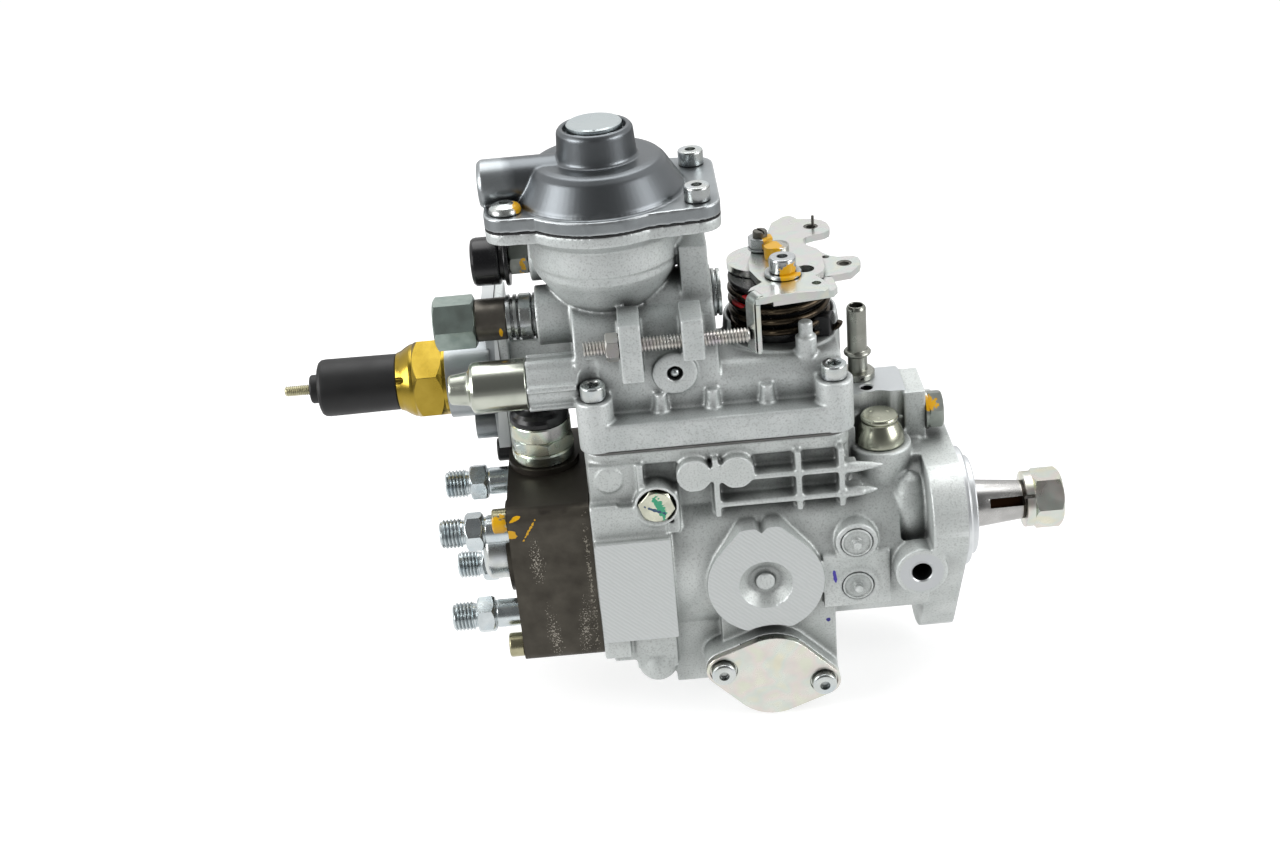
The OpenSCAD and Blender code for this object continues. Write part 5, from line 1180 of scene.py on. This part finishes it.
@dataclass
class Compensator:
    """Boost compensator: upper shell, screws, disc, diaphragm rim, vent, plug and load screw."""

    axis: tuple[float, float] = (-132, 10)
    seat: float = 150.75
    star_screws: tuple[tuple[float, float], ...] = ((-36.5, 14.9), (36.5, -20), (36.5, 20))
    dome_screw: tuple[float, float] = (-36.5, -14.9)
    vent: Point = (-163, 18, 122)
    load: Point = (-174, 8, 101)

    def build(self) -> None:
        """Makes every piece of the compensator."""
        cast("compensator_shell", "compensator_cover", SMOOTH_CAST, 0.5, 4, 150000)
        dress(RUBBER, "compensator_diaphragm")
        adopt(softened("neck_disc", 0.4, "compensator_disc"), "pump", DISC_ZINC, "compensator_disc")
        dress(HARDENED, "compensator_stem")
        self._screws()
        self._vent()
        self._load_screw()
        adopt(softened("bowl_ring_plug", 0.35, "ring_plug", 3), "pump", ZINC, "ring_plug")

    def _screws(self) -> None:
        """Makes three cap screws and one domed screw."""
        heads = [screw("cap", 10.4, 10, 6, Recess.STAR, 6.6) for _ in self.star_screws]
        heads.append(screw("dome", 10.4, 12.5, 3.9, Recess.STAR, 5.8, dome=3.0))
        places = zip(heads, (*self.star_screws, self.dome_screw), (0, 25, 50, 10))
        for one, (x, y), spin in places:
            settle(one, (self.axis[0] + x, self.axis[1] + y, self.seat), spin=spin)
        adopt(smooth(joined("shell_screws", heads)), "pump", SHELL_SCREW, "compensator_screws")

    def _vent(self) -> None:
        """Makes the vent fitting with its hexagon, and the cap on it."""
        nut = settle(hexagon("vent_nut", 12, 0.1, 7.9), self.vent, Way.LEFT, 20)
        stem = turned("vent_stem", [(0, -10.9), (4.5, -10.9), (5, -10.4), (5, 0), (4, 7.9), (4, 20.9), (0, 20.9)])
        settle(stem, self.vent, Way.LEFT)
        adopt(smooth(joined("vent_screw", [nut, stem])), "pump", VENT_STEEL, "vent_fitting")
        profile = [
            (4.1, 8.1), (10.3, 8.1), (10.5, 8.4), (10.5, 9.4), (10.2, 9.8), (8.4, 10.0), (8.2, 11.6), (9.4, 11.9),
            (9.75, 12.4), (9.75, 20.6), (9.5, 21.8), (8.7, 22.7), (7.6, 23), (0.4, 22.6), (0.4, 21.1), (4.1, 21.1),
        ]
        cap = settle(turned("vent_hood", profile, 64, ring=True), self.vent, Way.LEFT)
        adopt(smooth(cap), "pump", GLOSSY_BLACK, "vent_cap")

    def _load_screw(self) -> None:
        """Makes the full-load screw with its sleeve, rings and notched nut."""
        cap = settle(hexagon("load_hexagon", 19, 12.5, 29, 0.05), self.load, Way.LEFT, 2)
        sleeve = turned("sleeve", [(0, 0.1), (8.2, 0.1), (8.5, 0.5), (8.5, 11.9), (8.2, 12.6), (0, 12.6)])
        adopt(smooth(cap), "pump", DULL_ZINC, "load_screw_cap")
        adopt(smooth(settle(sleeve, self.load, Way.LEFT)), "pump", LOAD_SLEEVE)
        profile = [
            (0, -21.8), (5.9, -21.8), (5.9, -11.85), (9.2, -11.85), (9.2, -10.9), (8.2, -10.8), (8.2, -10.3),
            (8.8, -10.2), (9.35, -9.7), (9.35, -5.6), (8.8, -5.1), (8.2, -5.0), (8.2, -4.4), (9.2, -4.3), (9.2, -3.1),
            (8.2, -3.0), (8.2, -1.8), (9.3, -1.7), (9.3, -0.2), (8.4, -0.05), (0, -0.05),
        ]
        nut = turned("load_rings", profile, 72, ease=0.1)
        adopt(smooth(settle(nut, self.load, Way.LEFT)), "pump", ZINC, "load_screw_nuts")


@dataclass
class ThrottleGear:
    """Throttle lever with its screws, shaft, return spring and drum."""

    axis: tuple[float, float] = (-65, 10)
    plate_top: float = 116
    sheet: float = 3.0
    spring_base: float = 87.8
    spring_r: float = 19
    wire: float = 3
    rise: float = 4.5
    star_at: tuple[float, float] = (-64.5, -8)
    hexagon_at: tuple[float, float] = (-70.5, 19.6)
    tab_at: Point = (-79.3, -25, 0)
    tab_turn: float = 24
    tab_foot: float = 92.7

    def build(self) -> None:
        """Makes every piece of the throttle gear."""
        adopt(self._lever(), "throttle", LEVER_ZINC, "throttle_lever")
        self._screws()
        self._grommets()
        self._clip()
        self._shaft()
        self._spring()
        adopt(softened("drum", 0.5, "spring_drum", 3), "pump", GLOSSY_BLACK, "spring_drum")

    def _lever(self) -> Piece:
        """Parts the two plates by a fine gap, bends the stop tab over a radius and breaks all edges."""
        gap = 0.1
        lower = copied("throttle_plates", "throttle_lever")
        with editing():
            bpy.ops.mesh.dissolve_limited(angle_limit=PLANAR)
        cut(lower, settle(slab("bend_room", (-3.8, -3.8, 91), (4.2, 3.6, 117)), self.tab_at, spin=self.tab_turn))
        upper = twin(lower)
        for plate, low in ((lower, True), (upper, False)):
            level = self.plate_top - self.sheet - (gap if low else -gap)
            activate(plate)
            with editing():
                bpy.ops.mesh.bisect(
                    plane_co=(0, 0, level * MM), plane_no=(0, 0, 1), use_fill=True, clear_outer=low,
                    clear_inner=not low, threshold=MERGE,
                )
        cut(upper, self._tab(), "UNION")
        return smooth(joined("throttle_plates", [rounded(lower, 0.35, 3), rounded(upper, 0.35, 3)]))

    def _tab(self) -> Piece:
        """Bends a strip down over a radius, as the stop tab is, and puts it in its place."""
        mid, arc, half = self.sheet / 2, 2.6, 3.1
        bend = np.linspace(0, math.pi / 2, 9)
        path = [(4.4, -half, self.plate_top - mid)]
        path += [
            (mid + arc - arc * math.sin(a), -half, self.plate_top - mid - arc + arc * math.cos(a)) for a in bend
        ]
        strip = traced("stop_tab", [*path, (mid, -half, self.tab_foot)])
        with editing():
            bpy.ops.mesh.extrude_region_move(TRANSFORM_OT_translate={"value": (0, 2 * half * MM, 0)})
        modified(strip, "SOLIDIFY", thickness=self.sheet * MM, offset=0, use_even_offset=True)
        with editing():
            bpy.ops.mesh.normals_make_consistent(inside=False)
        return settle(strip, self.tab_at, spin=self.tab_turn)

    def _screws(self) -> None:
        """Makes the star screw with its washer, the hexagon and the black set screw."""
        z = self.plate_top + 0.1
        star, nut_place = (*self.star_at, z), (*self.hexagon_at, z)
        washer = turned("washer", [(3.2, 0), (7.0, 0), (7.2, 0.3), (7.2, 1.2), (6.9, 1.6), (3.2, 1.6)], 64, ring=True)
        cap = screw("cap", 0.05, 10.4, 6, Recess.STAR, 6.8)
        flat = turned("flat", [(0, 0), (5.0, 0), (5.2, 0.2), (5.2, 0.8), (5.0, 1.0), (0, 1.0)])
        group = [
            settle(washer, star), settle(cap, (*self.star_at, z + 1.6)), settle(flat, nut_place),
            settle(hexagon("nut", 9, 1.0, 5.4), nut_place, spin=10),
        ]
        adopt(smooth(joined("lever_fasteners", group)), "throttle", LEVER_SCREW, "lever_screws")
        stud = turned("slotted_stud", [(0, 5.0), (2.9, 5.0), (2.9, 7.4), (2.5, 7.9), (0, 7.9)], 40)
        slot = prism("slot", 1.0, 6.7, 9, 4)
        slot.scale = (1, 8, 1)
        cut(stud, fixed(slot))
        adopt(smooth(settle(stud, nut_place, spin=30)), "throttle", PHOSPHATE)

    def _grommets(self) -> None:
        """Makes the two grommets of the arm plate and the pin in one of them."""
        near = turned("grommet", [(1.9, 0.2), (2.95, 0.2), (2.95, 2.9), (1.9, 2.9)], 40, ring=True)
        far = twin(near)
        pin = turned("pin", [(0, 0), (0.6, 0), (0.6, 7), (0, 7.4)], 16)
        settle(near, (-39.1, 4.8, 109.9))
        settle(far, (-47.4, 45.8, 109.9))
        settle(pin, (-46.4, 46.6, 110.2))
        adopt(smooth(joined("arm_grommets", [near, far, pin])), "throttle", PHOSPHATE)

    def _clip(self) -> None:
        """Makes the black holder at the foot of the spring and the free end of its wire."""
        holder = prism("spring_holder", 6.5, 0, 8.5, 4)
        holder.scale = (1.2, 0.8, 1)
        holder = rounded(fixed(holder), 0.8, 3)
        adopt(smooth(settle(holder, (-48.6, -1.5, 86.2), spin=35)), "pump", GLOSSY_BLACK)
        hook = self._section("spring_wire_end", 0.84, 0, "NGON")
        with editing():
            bpy.ops.mesh.spin(steps=12, angle=math.radians(75), center=(0, 0, 4.6 * MM), axis=(1, 0, 0))
            bpy.ops.mesh.select_all(action="SELECT")
            bpy.ops.mesh.normals_make_consistent(inside=False)
        adopt(smooth(settle(hook, (-46.2, 0.5, 87.4), spin=62), 40), "pump", SPRING_WIRE)

    def _section(self, name: str, share: float, out: float, fill: str) -> Piece:
        """Draws a round section of the wire, upright, at a distance from the axis.

        Args:
            name: Name of the piece.
            share: Its width, as a share of the wire.
            out: Distance from the axis in mm.
            fill: Whether the circle is filled.

        Returns:
            The circle.
        """
        activate()
        bpy.ops.mesh.primitive_circle_add(
            vertices=16, radius=self.wire / 2 * share * MM, fill_type=fill, location=(out * MM, 0, 0),
            rotation=(math.pi / 2, 0, 0),
        )
        return fixed(named(name))

    def _shaft(self) -> None:
        """Makes the serrated end of the throttle shaft above the plates."""
        core = copied("throttle_spindle", "throttle_shaft")
        teeth = fluted(prism("teeth", 10.3, self.plate_top + 0.2, self.plate_top + 4.2, 48), 7.5, 0.93)
        settle(teeth, (*self.axis, 0))
        adopt(smooth(joined("throttle_spindle", [core, teeth]), 20), "throttle", SPINDLE, "throttle_shaft")

    def _spring(self) -> None:
        """Winds the return spring, with closed ends."""
        coil = modified(
            self._section("throttle_return_spring", 1, self.spring_r, "NOTHING"), "SCREW", axis="Z",
            angle=math.tau, screw_offset=self.rise * MM, iterations=4, steps=64, render_steps=64,
            use_merge_vertices=False, use_normal_calculate=True,
        )
        with editing("DESELECT"):
            bpy.ops.mesh.select_non_manifold()
            bpy.ops.mesh.fill()
            bpy.ops.mesh.select_all(action="SELECT")
            bpy.ops.mesh.normals_make_consistent(inside=False)
        settle(coil, (*self.axis, self.spring_base), spin=-60)
        adopt(smooth(coil, 40), "pump", SPRING_WIRE, "return_spring")


@dataclass
class Head:
    """Distributor head with its screws, plug, outlets and solenoid."""

    back: float = -181
    outlet_off: float = 20.3
    outlet_l: float = 29
    corners: tuple[float, ...] = (12, 24, 40, 52)
    screw_off: float = 30
    solenoid: Point = (-166, 7, 38.6)

    def build(self) -> None:
        """Makes every piece of the head."""
        adopt(softened("head_block", 0.7, "distributor_head", 3), "pump", HEAD_BLOCK, "distributor_head")
        dress(GROUND, "head_barrel")
        heads = [
            settle(screw("cap", 42.5, 10, 6, Recess.HEXAGON), (self.back - 0.1, y, z), Way.LEFT, y)
            for y in (-self.screw_off, self.screw_off) for z in (-self.screw_off, self.screw_off)
        ]
        adopt(smooth(joined("head_cap_screws", heads)), "pump", HEAD_SCREW, "head_screws")
        self._plug()
        self._outlets()
        self._solenoid()

    def _plug(self) -> None:
        """Makes the central plug with its hexagon socket."""
        profile = [(0, 3.7), (13.2, 3.7), (13.5, 4.1), (13.5, 11.6), (13.0, 12.4), (11.4, 13.7), (10.6, 14), (0, 14)]
        plug = cut(turned("central_plug_piece", profile, 72), prism("key", 8, 9, 16))
        adopt(smooth(settle(plug, (self.back, 0, 0), Way.LEFT, 15)), "pump", ZINC, "central_plug")

    def _outlets(self) -> None:
        """Makes four outlets with thread, neck, hexagon and stem."""
        end = self.outlet_l
        profile = [
            (1.5, -12.4), (5.4, -12.4), (5.8, -12), (5.8, end - 19.2), (5.5, end - 18.2), (5.5, end - 17.6),
            (6.4, end - 17.4), (6.4, end - 10.8), (5.0, end - 10.4), (4.9, end - 9.8), (5.1, end - 9.5),
            (5.05, end - 0.9), (4.7, end - 0.1), (3.6, end), (1.5, end - 2.6),
        ]
        hole = [(0, end - 19), (6.0, end - 19), (6.0, end - 9), (0, end - 9)]
        outlets = []
        for i, corner in enumerate(self.corners):
            stem = turned("stem", profile, 48, ring=True)
            nut = cut(hexagon("nut", 14, end - 17.8, end - 10.6, 0.09), turned("hole", hole, 48))
            ridge = settle(thread("ridge", 12, 1.5, 8.4, 1.0), (0, 0, end - 8.7))
            y, z = (-1, 1)[i % 2] * self.outlet_off, (1, -1)[i // 2] * self.outlet_off
            outlets.append(settle(joined("outlet", [stem, nut, ridge]), (self.back, y, z), Way.LEFT, corner))
        adopt(smooth(joined("pipe_outlets", outlets)), "pump", OUTLET, "valve_holders")

    def _solenoid(self) -> None:
        """Makes the solenoid: ring, hexagon, rolled shell and ribbed boot."""
        ring = [
            (0, -14.1), (9, -14.1), (9, 0.05), (12.3, 0.05), (12.8, 0.5), (12.8, 4.4), (12.2, 5.1), (0, 5.1),
        ]
        shell = [(0, 10.6), (12.1, 10.6), (12.5, 11), (12.5, 16.6), (12.1, 17.2), (0, 17.2)]
        nut = settle(hexagon("solenoid_nut", 24, 4.9, 11.1, 0.06), spin=12)
        body = joined("shut_off_solenoid", [turned("low_ring", ring), nut, turned("shell", shell, 80)])
        adopt(smooth(settle(body, self.solenoid)), "pump", SOLENOID, "solenoid_body")
        profile = [
            (0, 17.25), (11.9, 17.25), (12.3, 17.8), (12.2, 19.4), (11.6, 21), (10.4, 22.4), (8.8, 23.2), (7.9, 23.6),
            (7.4, 24.3), (7.4, 25), (7.8, 25.3), (7.8, 25.9), (7.3, 26.3), (7.2, 27), (6.6, 28), (2.6, 28), (2.4, 27),
            (0, 27),
        ]
        boot = settle(turned("terminal_boot", profile, 64), self.solenoid)
        adopt(smooth(boot), "pump", GLOSSY_BLACK, "solenoid_boot")


@dataclass
class ColdStart:
    """Cold start device: alloy body, brass nut, heater capsule and stud."""

    nut_at: Point = (-202.7, 27, 68)
    capsule_at: Point = (-223.75, 27, 68)
    capsule_l: float = 33

    def build(self) -> None:
        """Makes every piece of the cold start device."""
        adopt(softened("cold_start_casting", 0.8, "cold_start_body", 3), "pump", SMOOTH_CAST, "cold_start_body")
        self._nut()
        self._capsule()

    def _nut(self) -> None:
        """Makes the brass nut with its domed shoulder and keyed slots."""
        dome = turned("dome", [
            (9.1, -5), (15.4, 0.05), (15.5, 1.1), (15.4, 13.4), (15.0, 15.2), (14.0, 17.2), (12.6, 19.2), (12.2, 20.4),
            (12.0, 21), (9.1, 21),
        ], 96, ring=True)
        body = joined("brass_cap_nut", [hexagon("nut", 31, 1.0, 14, 0.09), dome])
        cut(body, turned("bore", [(0, 6), (9.05, 6), (9.05, 22), (0, 22)], 64))
        for turn in (-90, 30, 150):
            a = math.radians(turn)
            notch = turned("notch", [(0, -2.4), (1.5, -2.4), (1.5, 3), (0, 3)], 24)
            cut(body, settle(notch, (12.4 * math.cos(a), 12.4 * math.sin(a), 19.8)))
        adopt(smooth(settle(body, self.nut_at, Way.LEFT, 27)), "pump", BRASS, "cold_start_nut")

    def _capsule(self) -> None:
        """Makes the black capsule with its stepped nose, and the threaded stud."""
        end = self.capsule_l
        profile = [
            (0, -14), (8.95, -14), (8.95, 0.05), (11.4, 0.05), (11.7, 0.5), (12, end - 3.4), (11.8, end - 1.6),
            (11.0, end - 0.5), (9.8, end), (6.3, end + 0.1), (6.0, end + 0.6), (6.0, end + 3.2), (5.6, end + 3.9),
            (2.0, end + 4), (0, end + 4),
        ]
        shell = settle(turned("heater_shell", profile, 96), self.capsule_at, Way.LEFT)
        adopt(smooth(shell), "pump", NYLON, "heater_capsule")
        core = turned("core", [(0, end - 5), (1.8, end - 5), (1.8, end + 14.5), (1.4, end + 15), (0, end + 15)], 32)
        ridge = settle(thread("ridge", 4.5, 0.8, 10.8, 0.6), (0, 0, end + 4.1))
        stud = settle(joined("heater_terminal", [core, ridge]), self.capsule_at, Way.LEFT)
        adopt(smooth(stud), "pump", STUD, "heater_stud")


@dataclass
class DriveEnd:
    """Drive shaft with its taper, split washer and nut."""

    def build(self) -> None:
        """Makes the pieces outside the housing."""
        adopt(softened("tapered_shaft", 0.25, "drive_shaft"), "drive", TAPER, "drive_shaft")
        adopt(softened("shaft_nut", 0.35, "drive_nut"), "drive", PASSIVATED, "drive_nut")


@dataclass
class InnerWorks:
    """Working pieces that the castings hide."""

    steel: tuple[str, ...] = (
        "plunger", "timing_piston", "governor_pin", "solenoid_armature", "delivery_valve_1", "delivery_valve_2",
        "delivery_valve_3", "delivery_valve_4",
    )
    hard: tuple[str, ...] = (
        "drive_gear", "vane_rotor", "cam_plate", "flyweight_cage", "governor_sleeve", "governor_lever",
        "control_collar", "roller_ring",
    )

    def build(self) -> None:
        """Dresses the inner pieces."""
        dress(GROUND, *self.steel)
        dress(HARDENED, *self.hard)


@dataclass
class TamperCap:
    """Drawn steel cap over the idle adjuster."""

    end: Point = (-167.6, -14, 82)

    def build(self) -> None:
        """Turns the cap with its tapered nose."""
        profile = [
            (0, -13.9), (6, -13.9), (6, 0), (10, 0.05), (10.3, 0.4), (10.3, 19.6), (10.15, 20.7), (9.6, 21.8),
            (8.6, 22.4), (7.4, 22.8), (6.9, 23.4), (6.6, 24.6), (5.9, 29.6), (5.5, 30.6), (4.8, 31), (0, 31),
        ]
        shell = settle(turned("adjuster_cap", profile, 80), self.end, Way.LEFT)
        adopt(smooth(shell), "pump", NICKEL, "tamper_cap")


@dataclass
class Studio:
    """Camera of the photograph, soft lamps and a white floor."""

    eye: Point = (-119.6, -640.7, 393.0)
    azimuth: float = 0.5
    elevation: float = 28.1
    roll: float = 5.4
    lens: float = 50.0
    floor_z: float = -66.0
    floor_r: float = 6000.0
    floor_glow: float = 0.66
    target: Point = (-90, 0, 50)
    lamps: list[tuple[str, Point, float, float]] = field(default_factory=lambda: [
        ("overhead", (-100, 350, 1000), 900, 6.0),
        ("left_box", (-1000, -350, 420), 650, 7.5),
        ("right_box", (850, -450, 420), 650, 7.0),
    ])

    def build(self) -> None:
        """Makes the camera, the floor, the lamps and the world."""
        self._camera()
        self._floor()
        for lamp in self.lamps:
            self._lamp(*lamp)
        self._world()
        bpy.context.scene.view_settings.view_transform = "Standard"

    def _camera(self) -> None:
        """Puts the camera where the photograph was taken."""
        a, e, r = (math.radians(v) for v in (self.azimuth, self.elevation, self.roll))
        back = Vector((math.sin(a) * math.cos(e), -math.cos(a) * math.cos(e), math.sin(e)))
        right = Vector((math.cos(a), math.sin(a), 0))
        up = right.cross(-back)
        level, plumb = math.cos(r) * right - math.sin(r) * up, math.sin(r) * right + math.cos(r) * up
        data = bpy.data.cameras.new("photo_camera")
        data.lens, data.sensor_width, data.clip_end = self.lens, 36, 20
        camera = bpy.data.objects.new("photo_camera", data)
        bpy.context.scene.collection.objects.link(camera)
        turn = Matrix((level, plumb, back)).transposed().to_4x4()
        camera.matrix_world = Matrix.Translation(Vector(self.eye) * MM) @ turn
        bpy.context.scene.camera = camera

    def _floor(self) -> None:
        """Lays a white floor that shows white to the camera and keeps a soft shadow."""
        activate()
        bpy.ops.mesh.primitive_circle_add(
            vertices=96, radius=self.floor_r * MM, fill_type="NGON", location=(0, 0, self.floor_z * MM)
        )
        floor = named("studio_floor")
        paper = bpy.data.materials.new("matt_white_paper")
        graph = Graph(paper, "Object")
        ray = graph.add("LightPath").node.outputs
        white = (1, 1, 1, 1)
        seen = graph.math("MAXIMUM", ray["Is Camera Ray"], ray["Is Transmission Ray"])
        glow = graph.math("MULTIPLY", seen, self.floor_glow)
        light = graph.add("Emission", {"Color": white, "Strength": glow})
        sheet = graph.add("AddShader", {0: graph.add("BsdfDiffuse", {"Color": (0.5, 0.5, 0.5, 1)}), 1: light})
        offset = graph.add("VectorMath", {0: graph.coords, 1: (0.1, 0, 0)}, operation="ADD")
        away = graph.add("VectorMath", {0: offset}, "Value", operation="LENGTH")
        fall = graph.ranged(away, 0.25, 0.8, 1.0, 0.25)
        mirrored = graph.add("Emission", {"Color": white, "Strength": fall})
        both = graph.add("MixShader", {0: ray["Is Glossy Ray"], 1: sheet, 2: mirrored})
        graph.add("OutputMaterial", {0: both})
        floor.data.materials.append(paper)

    def _lamp(self, name: str, place: Point, size: float, power: float) -> None:
        """Hangs one soft box that looks at the pump.

        Args:
            name: Name of the lamp.
            place: Its place in mm.
            size: Side of its square face in mm.
            power: Its power in watts.
        """
        data = bpy.data.lights.new(name, "AREA")
        data.shape, data.size, data.energy = "SQUARE", size * MM, power
        lamp = bpy.data.objects.new(name, data)
        bpy.context.scene.collection.objects.link(lamp)
        lamp.location = Vector(place) * MM
        lamp.visible_camera = False
        aim = Vector(self.target) * MM - lamp.location
        lamp.rotation_euler = aim.to_track_quat("-Z", "Y").to_euler()

    def _world(self) -> None:
        """Fills the room with soft light, brighter above and dim behind the camera."""
        world = bpy.data.worlds.new("soft_room")
        graph = Graph(world, "Generated")
        upward = graph.add("SeparateXYZ", {0: graph.coords}, 2)
        level = graph.ranged(upward, -0.1, 0.9, 0.75, 0.95)
        toward = graph.add("VectorMath", {0: graph.coords, 1: (0, -0.76, 0.65)}, "Value", operation="DOT_PRODUCT")
        front = graph.ranged(toward, 0.3, 0.92, 1.0, 0.14, interpolation_type="SMOOTHSTEP")
        seen = graph.add("LightPath", out="Is Camera Ray")
        power = graph.between(seen, graph.math("MULTIPLY", level, front), 1.0)
        light = graph.add("Background", {"Color": (1, 1, 1, 1), "Strength": power})
        graph.add("OutputWorld", {0: light})
        bpy.context.scene.world = world


def main() -> None:
    """Builds the studio and the sub-assemblies in order."""
    logging.basicConfig(level=logging.INFO, format="%(message)s", stream=sys.stdout)
    Studio().build()
    assemblies = [
        Housing(), Cover(), Compensator(), ThrottleGear(), Head(), TamperCap(), ColdStart(), DriveEnd(), InnerWorks(),
    ]
    for assembly in assemblies:
        assembly.build()


if __name__ == "__main__":
    main()
